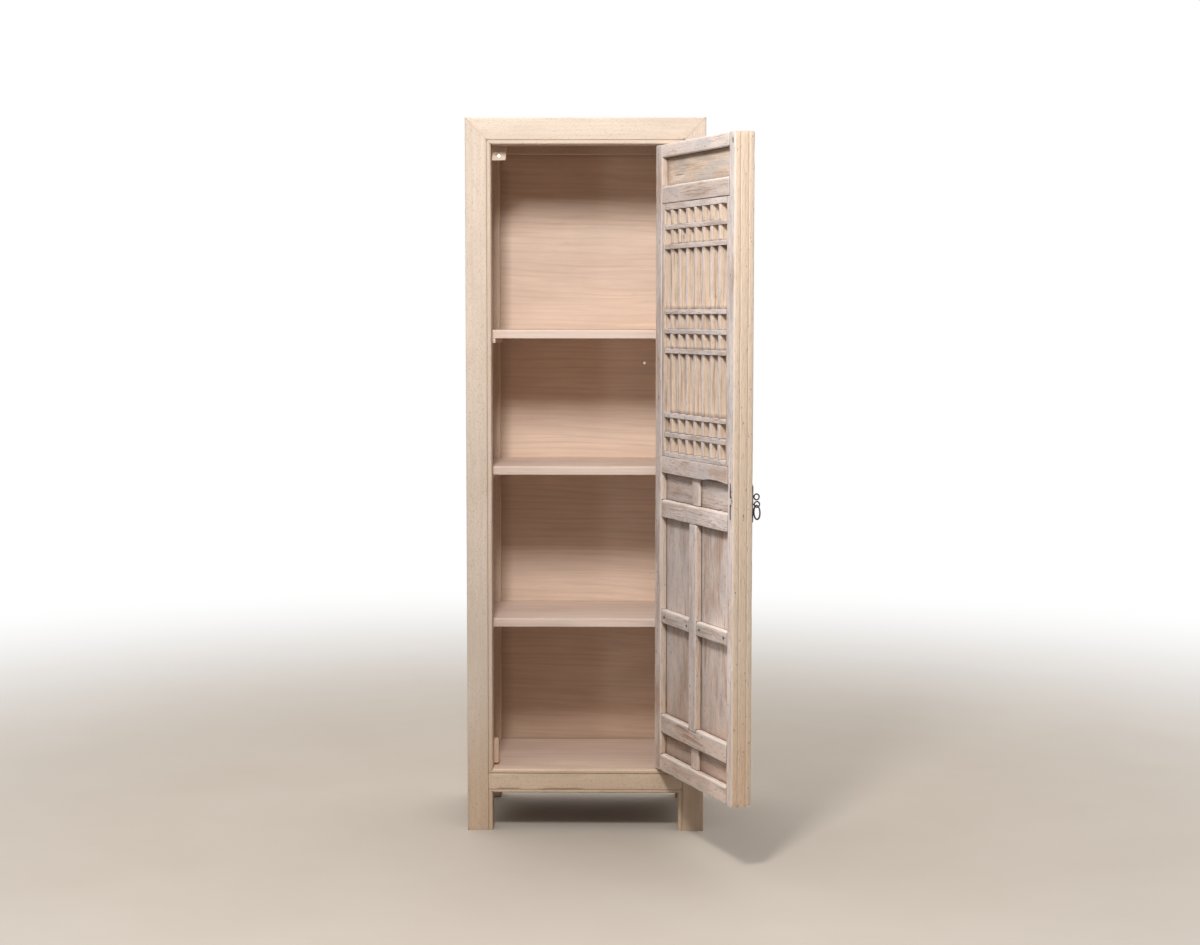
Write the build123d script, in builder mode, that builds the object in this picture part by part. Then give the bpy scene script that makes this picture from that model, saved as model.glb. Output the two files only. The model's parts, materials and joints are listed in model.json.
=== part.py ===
from build123d import *
import math
import os

# Tall single-door cabinet: a new hardwood frame built round an old lattice door leaf.
#
# Own frame, millimetres: X to the right seen from the front, Y towards the back, Z up.
# Its origin is the middle of the front left post's sole. The pieces are drawn about the
# middle of the carcass and moved to that datum as they are written. The door stands open.

os.makedirs("parts", exist_ok=True)

# ---------------------------------------------------------------- driving dimensions
WIDTH = 600.0
DEPTH = 400.0
HEIGHT = 1800.0

# carcass frame
POST_W = 64.0
FRONT_POST_D = 51.5
REAR_POST_D = 45.0
TOP_RAIL_H = 66.0
LOW_RAIL_BOTTOM = 97.0
LOW_RAIL_TOP = 157.0
SIDE_RAIL_T = 38.0
SIDE_TOP_RAIL_H = 50.0
REAR_TOP_RAIL_H = 64.0
SIDE_TENON_L = 18.0
TENON_T = 12.0
FIT = 0.1

# mouldings and softened edges
BEAD = 10.5
LOWER_BEAD = 8.0
QUIRK_W = 2.4
QUIRK_D = 2.2
BEAD_ROUND = 4.0
ARRIS = 3.0
FINE_ARRIS = 1.5
FOOT_CHAMFER = 2.0

# boards
PANEL_T = 10.0
SIDE_PANEL_SETBACK = 16.0
BACK_T = 9.0
GROOVE = 8.0
BACK_PANEL_SETBACK = 378.0
TOP_PANEL_T = 14.0
TOP_PANEL_DROP = 2.0
TONGUE_T = 6.0
TONGUE_RISE = 2.0
BOARD_T = 16.0
BOARD_SEAM = 27.0
SHELF_T = 22.0
SHELF_SETBACK = 55.5
SHELF_PLAY = 0.3
SHELF_BOTTOMS = {"upper": 1250.8, "middle": 904.5, "lower": 514.2}
CLEAT_H = 11.0
CLEAT_W = 36.0
LONG_CLEAT_W = 45.0

# door stops, catch and the screw in the back
STOP_W = 35.0
STOP_H = 36.0
STOP_D = 22.0
STOP_ROUND = 5.0
STRIP_W = 26.0
STRIP_REACH = 12.0
STRIP_Z = (163.0, 225.0)
STRIP_D = 15.0
STRIP_ROUND = 4.0
MAGNET_R = 4.0
MAGNET_T = 3.0
MAGNET_IN = 17.5
MAGNET_Z = 1709.0
STRIKE_T = 2.0
SCREW_SPOT = (150.8, 1181.9)
SCREW_HEAD_R = 4.6
SCREW_HEAD_T = 2.2
SCREW_BEVEL = 1.2
SCREW_R = 1.9

# door leaf and its pintles
DOOR_GAP = 3.0
DOOR_BOTTOM = 162.5
DOOR_H = 1568.0
DOOR_T = 51.0
OPENING_ANGLE = 112.0
PIVOT_IN = 15.0
PIVOT_BACK = 11.0
PINTLE_R = 6.0
PINTLE_SEAT = 14.0
PINTLE_PLAY = 0.35
HINGE_STILE_W = 40.0
FREE_STILE_W = 32.0
HINGE_ROUND = 5.0
ROUND = 3.5
BACK_ROUND = 2.0
EDGE_GROOVES = (16.0, 36.5)
EDGE_GROOVE = 1.0
LOCK_HOLE = (10.5, 717.2)
LOCK_HOLE_R = 2.5
LOCK_HOLE_D = 8.0

# door rails, panels, muntins and battens
RAIL_D = 40.0
PANEL_DEPTH = 15.6
PANEL_TONGUE = 6.0
TENON_L = 18.0
TENON_SHOULDER = 7.0
MUNTIN_U = (212.0, 255.0)
MUNTIN_TENON_U = (222.0, 245.0)
SMALL_MUNTIN_D = (8.0, 34.0)
MUNTIN_ROUND = 2.5
MUNTIN_LAP = 8.0
LONG_MUNTIN_TENON = 14.0
SMALL_MUNTIN_TENON = 12.0
FOOT_MUNTIN_TENON = 10.0
ARCH = ((290.0, 0.0), (355.0, 4.5), (425.0, 0.0))
BATTEN_H = 34.0
BATTEN_PLAY = 0.5
NAIL_W = 2.2
NAIL_HEAD_R = 2.7
NAIL_HEAD_SIDES = 6
NAIL_HEAD_T = 0.8
NAIL_L = 21.0

# lattice
BAR_W = 12.0
LATTICE_D = (2.0, 34.0)
LATTICE_SIDE_W = 14.5
LATTICE_TOP_W = 15.3
LATTICE_SEAM = 1.2
CELL_COLUMNS = 8
SHORT = 36.2
TALL = 147.5
CELL_ROWS = (SHORT, SHORT, TALL, SHORT, SHORT, TALL, SHORT, SHORT)
BAR_TENON = 5.0
BAR_TENON_W = 8.0
BAR_TENON_T = 14.0
FRAME_SHOULDER = 3.0

# ring pull
PULL_IN = 14.0
PLATE_V = 711.4
PLATE_H = 93.0
PLATE_W = 24.0
PLATE_T = 1.6
PLATE_NOTCH_R = 5.0
EYE_R = 6.8
EYE_WIRE_R = 1.9
EYE_V = {"upper": 726.8, "lower": 709.1}
EYE_REACH = {"upper": 15.5, "lower": 16.5}
CLENCH = {"upper": 34.0, "lower": -34.0}
FORGED_SIDES = 8
EYE_RUNS = 12
RING_RUNS = 20
RING_R = 16.3
RING_WIRE_R = 2.0
RING_PLAY = 0.35

# ---------------------------------------------------------------- carcass places
SIDES = ((-1, "left"), (1, "right"))
FRONT = -DEPTH / 2
BACK = DEPTH / 2
HALF_W = WIDTH / 2
HALF_OPEN = HALF_W - POST_W
OPEN_TOP = HEIGHT - TOP_RAIL_H
FRONT_POST_BACK = FRONT + FRONT_POST_D
REAR_POST_FRONT = BACK - REAR_POST_D
SIDE_RUN = (FRONT_POST_BACK, REAR_POST_FRONT)
SIDE_RUN_L = REAR_POST_FRONT - FRONT_POST_BACK
SIDE_RAIL_IN = HALF_W - SIDE_RAIL_T
SIDE_TOP_RAIL_Z = (HEIGHT - SIDE_TOP_RAIL_H, HEIGHT)
REAR_TOP_RAIL_Z = (HEIGHT - REAR_TOP_RAIL_H, HEIGHT)
LOW_RAIL_Z = (LOW_RAIL_BOTTOM, LOW_RAIL_TOP)
BOARD_Z = (LOW_RAIL_TOP - BOARD_T, LOW_RAIL_TOP)
BACK_PANEL_Y = (FRONT + BACK_PANEL_SETBACK, FRONT + BACK_PANEL_SETBACK + BACK_T)
BACK_PANEL_Z = (LOW_RAIL_TOP - GROOVE, REAR_TOP_RAIL_Z[0] + GROOVE)
SIDE_PANEL_X = (HALF_W - SIDE_PANEL_SETBACK - PANEL_T, HALF_W - SIDE_PANEL_SETBACK)
SIDE_PANEL_Y = (SIDE_RUN[0] - GROOVE, SIDE_RUN[1] + GROOVE)
SIDE_PANEL_Z = (LOW_RAIL_TOP - GROOVE, SIDE_TOP_RAIL_Z[0] + GROOVE)
TOP_PANEL_Z = (HEIGHT - TOP_PANEL_DROP - TOP_PANEL_T, HEIGHT - TOP_PANEL_DROP)
TONGUE_Z = (TOP_PANEL_Z[0] + TONGUE_RISE, TOP_PANEL_Z[0] + TONGUE_RISE + TONGUE_T)
DATUM = Location((HALF_W - POST_W / 2, -FRONT - FRONT_POST_D / 2, 0))
FRONT_FACE = Plane.XZ.offset(-FRONT)
SIDE_START = Plane.XZ.offset(-SIDE_RUN[0])

# tenons, as spans of X, Y and Z, with X measured from the centre line
FRONT_TENON_Y = (FRONT + 20.0, FRONT + 20.0 + TENON_T)
TOP_TENON_X = (HALF_OPEN + 4.0, HALF_OPEN + 46.0)
TOP_TENON_Z = (OPEN_TOP + 8.0, OPEN_TOP + 30.0)
LOW_TENON_X = (HALF_OPEN, HALF_OPEN + 46.0)
LOW_TENON_Z = (LOW_RAIL_BOTTOM + 15.0, LOW_RAIL_TOP - 15.0)
REAR_TENON_X = (HALF_OPEN, HALF_OPEN + 20.0)
REAR_TENON_Y = (BACK - 38.0, BACK - 38.0 + TENON_T)
REAR_TENON_Z = {"top": (HEIGHT - 48.0, HEIGHT - 10.0), "low": (LOW_RAIL_BOTTOM + 6.0, BOARD_Z[0] - 5.0)}
SIDE_TENON_X = (HALF_W - 14.0, HALF_W - 6.0)
SIDE_TENON_Y = (SIDE_RUN[0] - SIDE_TENON_L, SIDE_RUN[1] + SIDE_TENON_L)
SIDE_TENON_Z = {"top": (HEIGHT - 41.0, HEIGHT - 22.0), "low": (LOW_RAIL_BOTTOM + 11.0, BOARD_Z[0] - 3.0)}

# ---------------------------------------------------------------- door places
pivot = Vector(HALF_OPEN - DOOR_GAP - PIVOT_IN, FRONT + PIVOT_BACK)
lean = math.radians(OPENING_ANGLE - 90)
across = Vector(math.sin(lean), -math.cos(lean), 0)
outward = Vector(math.cos(lean), math.sin(lean), 0)
hinge_corner = pivot - across * PIVOT_IN - outward * (DOOR_T - PIVOT_BACK)

# LEAF: x across the leaf from its hinge edge, y from its inner to its outer face, z up.
LEAF = Plane(origin=(hinge_corner.X, hinge_corner.Y, DOOR_BOTTOM), x_dir=across, z_dir=(0, 0, 1))
# FACE: the inner face, x across the leaf, y up, with its normal into the cabinet's room.
FACE = Plane(origin=LEAF.origin, x_dir=across, z_dir=-outward)

LEAF_W = 2 * (HALF_OPEN - DOOR_GAP)
OPEN_U = (HINGE_STILE_W, LEAF_W - FREE_STILE_W)
TENON_U = (OPEN_U[0] - TENON_L, OPEN_U[1] + TENON_L)
TONGUE_D = (PANEL_DEPTH, PANEL_DEPTH + PANEL_T)
PULL_U = LEAF_W - PULL_IN
STRIKE = (LEAF_W - MAGNET_IN + DOOR_GAP, MAGNET_Z - DOOR_BOTTOM)

RAILS = {
    "door_top_rail": (1536.0, DOOR_H),
    "door_frieze_rail": (1423.0, 1466.5),
    "door_lattice_rail": (756.0, 797.5),
    "door_waist_rail": (644.0, 688.0),
    "door_lower_rail": (98.0, 145.0),
    "door_bottom_rail": (0.0, 43.0),
}
# rounding of the lower and upper inner arris of each straight rail
RAIL_ROUNDS = {
    "door_top_rail": (FINE_ARRIS, BACK_ROUND),
    "door_frieze_rail": (FINE_ARRIS, ROUND),
    "door_waist_rail": (FINE_ARRIS, ROUND),
    "door_lower_rail": (FINE_ARRIS, ROUND),
    "door_bottom_rail": (BACK_ROUND, ROUND),
}
FRIEZE_V = (RAILS["door_frieze_rail"][1], RAILS["door_top_rail"][0])
SMALL_V = (RAILS["door_waist_rail"][1], RAILS["door_lattice_rail"][0])
TALL_V = (RAILS["door_lower_rail"][1], RAILS["door_waist_rail"][0])
FOOT_V = (RAILS["door_bottom_rail"][1], RAILS["door_lower_rail"][0])
PANEL_RUNS = (FRIEZE_V, SMALL_V, TALL_V, FOOT_V)
HINGE_SIDE_U = (OPEN_U[0], MUNTIN_U[0])
FREE_SIDE_U = (MUNTIN_U[1], OPEN_U[1])
PANELS = {
    "door_frieze_panel": (OPEN_U, FRIEZE_V),
    "door_small_panel_hinge_side": (HINGE_SIDE_U, SMALL_V),
    "door_small_panel_free_side": (FREE_SIDE_U, SMALL_V),
    "door_tall_panel_hinge_side": (HINGE_SIDE_U, TALL_V),
    "door_tall_panel_free_side": (FREE_SIDE_U, TALL_V),
    "door_foot_panel_hinge_side": (HINGE_SIDE_U, FOOT_V),
    "door_foot_panel_free_side": (FREE_SIDE_U, FOOT_V),
}
# each muntin: its depth, its height, and its lower and upper tenon
LONG_MUNTIN_V = (TALL_V[0] - MUNTIN_LAP, TALL_V[1])
MUNTINS = {
    "door_long_muntin": ((0.0, RAIL_D), LONG_MUNTIN_V, (LONG_MUNTIN_TENON, LONG_MUNTIN_TENON)),
    "door_small_muntin": (SMALL_MUNTIN_D, SMALL_V, (SMALL_MUNTIN_TENON, SMALL_MUNTIN_TENON)),
    "door_foot_muntin": (SMALL_MUNTIN_D, FOOT_V, (SMALL_MUNTIN_TENON, FOOT_MUNTIN_TENON)),
}
# each batten: its span, its lower edge and its nails
BATTENS = {
    "door_batten_hinge_side": (HINGE_SIDE_U, 377.0, ((60.0, 393.0), (200.0, 391.0))),
    "door_batten_free_side": (FREE_SIDE_U, 376.0, ((275.0, 392.0), (415.0, 393.0))),
}
NAIL_SPOTS = [spot for batten in BATTENS.values() for spot in batten[2]]

LATTICE_V = (RAILS["door_lattice_rail"][1], RAILS["door_frieze_rail"][0] - LATTICE_SEAM)
LATTICE_TOP = LATTICE_V[1] - LATTICE_TOP_W
LATTICE_BOTTOM = LATTICE_TOP - sum(CELL_ROWS) - BAR_W * (len(CELL_ROWS) - 1)
LATTICE_U = (OPEN_U[0] + LATTICE_SIDE_W, OPEN_U[1] - LATTICE_SIDE_W)
LATTICE_TENON_U = (LATTICE_U[0] - BAR_TENON, LATTICE_U[1] + BAR_TENON)
LATTICE_TENON_V = (LATTICE_BOTTOM - BAR_TENON, LATTICE_TOP + BAR_TENON)
PITCH = (LATTICE_U[1] - LATTICE_U[0] + BAR_W) / CELL_COLUMNS
UPRIGHTS = [LATTICE_U[0] + PITCH * n - BAR_W for n in range(1, CELL_COLUMNS)]
CROSSBARS = [LATTICE_TOP - sum(CELL_ROWS[:n]) - BAR_W * n for n in range(1, len(CELL_ROWS))]
LAP_D = sum(LATTICE_D) / 2
BAR_TENON_D = (LAP_D - BAR_TENON_T / 2, LAP_D + BAR_TENON_T / 2)
SILL_TENON_V = (LATTICE_V[0] + FRAME_SHOULDER, LATTICE_BOTTOM - FRAME_SHOULDER)
HEAD_TENON_V = (LATTICE_TOP + FRAME_SHOULDER, LATTICE_V[1] - FRAME_SHOULDER)


# ---------------------------------------------------------------- shared operations
def slab(x_span, y_span, z_span, mode=Mode.ADD):
    """A rectangular block between two corners, in the builder's own plane."""
    spans = (x_span, y_span, z_span)
    middle = tuple((low + high) / 2 for low, high in spans)
    size = tuple(abs(high - low) for low, high in spans)
    with Locations(middle):
        Box(*size, mode=mode)


def pocket(x_span, y_span, z_span):
    """A recess that takes a tenon, tongue or bar of the given size with a little room."""
    grown = [(min(span) - FIT, max(span) + FIT) for span in (x_span, y_span, z_span)]
    slab(*grown, mode=Mode.SUBTRACT)


def on_side(side, span):
    """A span given as distances from the centre line, moved to one side of it."""
    return tuple(sorted(side * distance for distance in span))


def outline(points, rounds=()):
    """A face with straight sides through the points, with the given corners rounded."""
    Polygon(*points)
    for corner, radius in rounds:
        fillet(vertices().sort_by_distance(corner)[0], radius)


def across_at(u):
    """Section plane through the leaf at u: x is depth from the inner face, y is height."""
    start = LEAF.from_local_coords(Vector(u, 0, 0))
    return Plane(origin=start, x_dir=outward, z_dir=across)


def bar_tenon(start):
    """Span of the stub tenon on a lattice bar that starts at the given place."""
    middle = start + BAR_W / 2
    return (middle - BAR_TENON_W / 2, middle + BAR_TENON_W / 2)


def forged_loop(centre, axis, radius, wire_r, runs):
    """A closed loop of eight-sided wire, hammered into straight runs that meet in mitres."""
    half_w = wire_r * math.cos(math.pi / FORGED_SIDES)
    bevel = half_w * (1 - math.tan(math.pi / FORGED_SIDES))
    with BuildPart() as loop:
        with BuildSketch(Plane(origin=centre, x_dir=(0, 0, 1), z_dir=axis)):
            for reach, mode in ((radius + half_w, Mode.ADD), (radius - half_w, Mode.SUBTRACT)):
                RegularPolygon(reach, runs, major_radius=False, rotation=180 / runs, mode=mode)
        extrude(amount=half_w, both=True)
        chamfer(loop.faces().filter_by(Axis((0, 0, 0), axis)).edges(), bevel)
    return loop.part


def finish(piece, name):
    """Set a finished piece on the datum, name it and write it."""
    piece.part.move(DATUM)
    piece.part.label = name
    export_step(piece.part, f"parts/{name}.step")


# ---------------------------------------------------------------- front frame
# The ends of the low rail are mitred where its beads turn into the beads of the posts.
LOW_RAIL_SHAPE = (
    (-HALF_OPEN, LOW_RAIL_TOP),
    (HALF_OPEN, LOW_RAIL_TOP),
    (HALF_OPEN + BEAD, LOW_RAIL_TOP - BEAD),
    (HALF_OPEN + BEAD, LOW_RAIL_BOTTOM + LOWER_BEAD),
    (HALF_OPEN, LOW_RAIL_BOTTOM),
    (-HALF_OPEN, LOW_RAIL_BOTTOM),
    (-HALF_OPEN - BEAD, LOW_RAIL_BOTTOM + LOWER_BEAD),
    (-HALF_OPEN - BEAD, LOW_RAIL_TOP - BEAD),
)
TOP_RAIL_SHAPE = (
    (-HALF_OPEN, OPEN_TOP),
    (HALF_OPEN, OPEN_TOP),
    (HALF_W, HEIGHT),
    (-HALF_W, HEIGHT),
)

for side, hand in SIDES:
    inner = side * HALF_OPEN
    outer = side * HALF_W
    quirk = side * (HALF_OPEN + BEAD)
    half_quirk = side * QUIRK_W / 2
    with BuildPart() as front_post:
        with BuildSketch():
            section = (
                (inner, FRONT),
                (quirk - half_quirk, FRONT),
                (quirk, FRONT + QUIRK_D),
                (quirk + half_quirk, FRONT),
                (outer, FRONT),
                (outer, FRONT_POST_BACK),
                (inner, FRONT_POST_BACK),
            )
            outline(section, (((inner, FRONT), BEAD_ROUND), ((outer, FRONT), ARRIS)))
        extrude(amount=HEIGHT)
        sole = front_post.faces().sort_by(Axis.Z)[0]
        chamfer(sole.edges().filter_by(Axis.X).sort_by(Axis.Y)[-1], FOOT_CHAMFER)
        # mitred head that meets the top rail
        with BuildSketch(FRONT_FACE):
            outline(((inner, OPEN_TOP), (outer, HEIGHT), (inner, HEIGHT)))
        extrude(amount=-FRONT_POST_D, mode=Mode.SUBTRACT)
        # housing for the end of the low rail
        with BuildSketch(FRONT_FACE):
            outline(LOW_RAIL_SHAPE)
        extrude(amount=-FRONT_POST_D, mode=Mode.SUBTRACT)
        pocket(on_side(side, TOP_TENON_X), FRONT_TENON_Y, TOP_TENON_Z)
        pocket(on_side(side, LOW_TENON_X), FRONT_TENON_Y, LOW_TENON_Z)
        for level in SIDE_TENON_Z.values():
            pocket(on_side(side, SIDE_TENON_X), (SIDE_TENON_Y[0], SIDE_RUN[0]), level)
        pocket(on_side(side, SIDE_PANEL_X), (SIDE_PANEL_Y[0], SIDE_RUN[0]), SIDE_PANEL_Z)
    finish(front_post, f"front_{hand}_post")

with BuildPart() as front_top_rail:
    with BuildSketch(Plane.YZ.offset(-HALF_W)):
        section = (
            (FRONT, OPEN_TOP),
            (FRONT_POST_BACK, OPEN_TOP),
            (FRONT_POST_BACK, HEIGHT),
            (FRONT, HEIGHT),
            (FRONT, OPEN_TOP + BEAD + QUIRK_W / 2),
            (FRONT + QUIRK_D, OPEN_TOP + BEAD),
            (FRONT, OPEN_TOP + BEAD - QUIRK_W / 2),
        )
        outline(section, (((FRONT, OPEN_TOP), BEAD_ROUND), ((FRONT, HEIGHT), ARRIS)))
    extrude(amount=WIDTH)
    with BuildSketch(FRONT_FACE):
        outline(TOP_RAIL_SHAPE)
    extrude(amount=-FRONT_POST_D, mode=Mode.INTERSECT)
    for side, hand in SIDES:
        slab(on_side(side, TOP_TENON_X), FRONT_TENON_Y, TOP_TENON_Z)
    pocket((-SIDE_RAIL_IN, SIDE_RAIL_IN), (SIDE_RUN[0] - GROOVE, SIDE_RUN[0]), TONGUE_Z)
    # socket for the upper pintle of the door
    with Locations(Location((pivot.X, pivot.Y, OPEN_TOP), (180, 0, 0))):
        Hole(radius=PINTLE_R + PINTLE_PLAY, depth=PINTLE_SEAT + PINTLE_PLAY)
finish(front_top_rail, "front_top_rail")

with BuildPart() as front_low_rail:
    with BuildSketch(Plane.YZ.offset(-HALF_W)):
        section = (
            (FRONT, LOW_RAIL_BOTTOM),
            (FRONT_POST_BACK, LOW_RAIL_BOTTOM),
            (FRONT_POST_BACK, LOW_RAIL_TOP),
            (FRONT, LOW_RAIL_TOP),
            (FRONT, LOW_RAIL_TOP - BEAD + QUIRK_W / 2),
            (FRONT + QUIRK_D, LOW_RAIL_TOP - BEAD),
            (FRONT, LOW_RAIL_TOP - BEAD - QUIRK_W / 2),
            (FRONT, LOW_RAIL_BOTTOM + LOWER_BEAD + QUIRK_W / 2),
            (FRONT + QUIRK_D, LOW_RAIL_BOTTOM + LOWER_BEAD),
            (FRONT, LOW_RAIL_BOTTOM + LOWER_BEAD - QUIRK_W / 2),
        )
        outline(section, (((FRONT, LOW_RAIL_BOTTOM), ARRIS), ((FRONT, LOW_RAIL_TOP), BEAD_ROUND)))
    extrude(amount=WIDTH)
    with BuildSketch(FRONT_FACE):
        outline(LOW_RAIL_SHAPE)
    extrude(amount=-FRONT_POST_D, mode=Mode.INTERSECT)
    for side, hand in SIDES:
        slab(on_side(side, LOW_TENON_X), FRONT_TENON_Y, LOW_TENON_Z)
    # rebate that carries the front edge of the bottom board
    slab((-HALF_OPEN, HALF_OPEN), (FRONT + BOARD_SEAM, FRONT_POST_BACK), BOARD_Z, Mode.SUBTRACT)
    # socket for the lower pintle of the door
    with Locations((pivot.X, pivot.Y, LOW_RAIL_TOP)):
        Hole(radius=PINTLE_R + PINTLE_PLAY, depth=PINTLE_SEAT + PINTLE_PLAY)
finish(front_low_rail, "front_low_rail")

# ---------------------------------------------------------------- rear frame
for side, hand in SIDES:
    inner = side * HALF_OPEN
    outer = side * HALF_W
    with BuildPart() as rear_post:
        with BuildSketch():
            section = (
                (inner, REAR_POST_FRONT),
                (outer, REAR_POST_FRONT),
                (outer, BACK),
                (inner, BACK),
            )
            outline(section, (((inner, REAR_POST_FRONT), ARRIS), ((outer, BACK), ARRIS)))
        extrude(amount=HEIGHT)
        sole = rear_post.faces().sort_by(Axis.Z)[0]
        chamfer(sole.edges().filter_by(Axis.X), FOOT_CHAMFER)
        for level in REAR_TENON_Z.values():
            pocket(on_side(side, REAR_TENON_X), REAR_TENON_Y, level)
        for level in SIDE_TENON_Z.values():
            pocket(on_side(side, SIDE_TENON_X), (SIDE_RUN[1], SIDE_TENON_Y[1]), level)
        pocket(on_side(side, SIDE_PANEL_X), (SIDE_RUN[1], SIDE_PANEL_Y[1]), SIDE_PANEL_Z)
        pocket(on_side(side, (HALF_OPEN, HALF_OPEN + GROOVE)), BACK_PANEL_Y, BACK_PANEL_Z)
    finish(rear_post, f"rear_{hand}_post")

with BuildPart() as rear_top_rail:
    slab((-HALF_OPEN, HALF_OPEN), (REAR_POST_FRONT, BACK), REAR_TOP_RAIL_Z)
    underside = rear_top_rail.faces().sort_by(Axis.Z)[0]
    fillet(underside.edges().filter_by(Axis.X).sort_by(Axis.Y)[0], ARRIS)
    for side, hand in SIDES:
        slab(on_side(side, REAR_TENON_X), REAR_TENON_Y, REAR_TENON_Z["top"])
    pocket((-HALF_OPEN, HALF_OPEN), BACK_PANEL_Y, (REAR_TOP_RAIL_Z[0], BACK_PANEL_Z[1]))
    pocket((-HALF_OPEN, HALF_OPEN), (SIDE_RUN[1], SIDE_RUN[1] + GROOVE), TONGUE_Z)
finish(rear_top_rail, "rear_top_rail")

with BuildPart() as rear_low_rail:
    slab((-HALF_OPEN, HALF_OPEN), (REAR_POST_FRONT, BACK), LOW_RAIL_Z)
    for side, hand in SIDES:
        slab(on_side(side, REAR_TENON_X), REAR_TENON_Y, REAR_TENON_Z["low"])
    # rebate for the bottom board, then the groove for the back panel
    slab((-HALF_OPEN, HALF_OPEN), (REAR_POST_FRONT, BACK_PANEL_Y[0]), BOARD_Z, Mode.SUBTRACT)
    pocket((-HALF_OPEN, HALF_OPEN), BACK_PANEL_Y, (BACK_PANEL_Z[0], LOW_RAIL_TOP))
finish(rear_low_rail, "rear_low_rail")

# ---------------------------------------------------------------- side frames
for side, hand in SIDES:
    inner = side * SIDE_RAIL_IN
    outer = side * HALF_W
    with BuildPart() as side_top_rail:
        with BuildSketch(SIDE_START):
            low, high = SIDE_TOP_RAIL_Z
            section = ((inner, low), (outer, low), (outer, high), (inner, high))
            outline(section, (((outer, high), ARRIS),))
        extrude(amount=-SIDE_RUN_L)
        slab(on_side(side, SIDE_TENON_X), SIDE_TENON_Y, SIDE_TENON_Z["top"])
        pocket(on_side(side, SIDE_PANEL_X), SIDE_RUN, (SIDE_TOP_RAIL_Z[0], SIDE_PANEL_Z[1]))
        pocket(on_side(side, (SIDE_RAIL_IN, SIDE_RAIL_IN + GROOVE)), SIDE_RUN, TONGUE_Z)
    finish(side_top_rail, f"{hand}_top_rail")

    with BuildPart() as side_low_rail:
        with BuildSketch(SIDE_START):
            low, high = LOW_RAIL_Z
            section = ((inner, low), (outer, low), (outer, high), (inner, high))
            outline(section, (((outer, low), ARRIS),))
        extrude(amount=-SIDE_RUN_L)
        slab(on_side(side, SIDE_TENON_X), SIDE_TENON_Y, SIDE_TENON_Z["low"])
        pocket(on_side(side, SIDE_PANEL_X), SIDE_RUN, (SIDE_PANEL_Z[0], LOW_RAIL_TOP))
        rebate = on_side(side, (SIDE_RAIL_IN, SIDE_RAIL_IN + GROOVE))
        slab(rebate, SIDE_RUN, BOARD_Z, Mode.SUBTRACT)
    finish(side_low_rail, f"{hand}_low_rail")

    with BuildPart() as side_panel:
        slab(on_side(side, SIDE_PANEL_X), SIDE_PANEL_Y, SIDE_PANEL_Z)
    finish(side_panel, f"{hand}_side_panel")

# ---------------------------------------------------------------- boards
with BuildPart() as back_panel:
    slab((-HALF_OPEN - GROOVE, HALF_OPEN + GROOVE), BACK_PANEL_Y, BACK_PANEL_Z)
    with BuildSketch(Plane.XZ.offset(-BACK_PANEL_Y[0])):
        with Locations(SCREW_SPOT):
            Circle(SCREW_R + FIT)
    extrude(amount=-BACK_T, mode=Mode.SUBTRACT)
finish(back_panel, "back_panel")

with BuildPart() as top_panel:
    slab((-SIDE_RAIL_IN, SIDE_RAIL_IN), SIDE_RUN, TOP_PANEL_Z)
    slab((-SIDE_RAIL_IN - GROOVE, SIDE_RAIL_IN + GROOVE), SIDE_RUN, TONGUE_Z)
    slab((-SIDE_RAIL_IN, SIDE_RAIL_IN), (SIDE_RUN[0] - GROOVE, SIDE_RUN[0]), TONGUE_Z)
    slab((-HALF_OPEN, HALF_OPEN), (SIDE_RUN[1], SIDE_RUN[1] + GROOVE), TONGUE_Z)
finish(top_panel, "top_panel")

with BuildPart() as bottom_board:
    slab((-SIDE_RAIL_IN - GROOVE, SIDE_RAIL_IN + GROOVE), SIDE_RUN, BOARD_Z)
    slab((-HALF_OPEN, HALF_OPEN), (FRONT + BOARD_SEAM, BACK_PANEL_Y[0]), BOARD_Z)
finish(bottom_board, "bottom_board")

SHELF_HALF_W = SIDE_PANEL_X[0] - SHELF_PLAY
SHELF_BACK_HALF_W = HALF_OPEN - SHELF_PLAY
for name, base in SHELF_BOTTOMS.items():
    level = (base, base + SHELF_T)
    with BuildPart() as shelf:
        shoulder = REAR_POST_FRONT - SHELF_PLAY
        slab((-SHELF_HALF_W, SHELF_HALF_W), (FRONT + SHELF_SETBACK, shoulder), level)
        slab((-SHELF_BACK_HALF_W, SHELF_BACK_HALF_W), (shoulder, BACK_PANEL_Y[0]), level)
        fillet(shelf.edges().filter_by(Axis.X).group_by(Axis.Y)[0], BACK_ROUND)
    finish(shelf, f"{name}_shelf")

    with BuildPart() as cleats:
        for side, hand in SIDES:
            width = LONG_CLEAT_W if (name, hand) == ("upper", "left") else CLEAT_W
            reach = on_side(side, (SIDE_PANEL_X[0] - width, SIDE_PANEL_X[0]))
            slab(reach, SIDE_RUN, (base - CLEAT_H, base))
    finish(cleats, f"{name}_shelf_cleats")

with BuildPart() as back_screw:
    with BuildSketch(Plane.XZ.offset(-BACK_PANEL_Y[0])):
        with Locations(SCREW_SPOT):
            Circle(SCREW_HEAD_R)
    extrude(amount=SCREW_HEAD_T)
    chamfer(back_screw.faces().sort_by(Axis.Y)[0].edges(), SCREW_BEVEL)
    with BuildSketch(Plane.XZ.offset(-BACK_PANEL_Y[0])):
        with Locations(SCREW_SPOT):
            Circle(SCREW_R)
    extrude(amount=-(BACK_T - FIT))
finish(back_screw, "back_screw")

# ---------------------------------------------------------------- door stops and catch
MAGNET_SPOT = (-HALF_OPEN + MAGNET_IN, MAGNET_Z)

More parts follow.
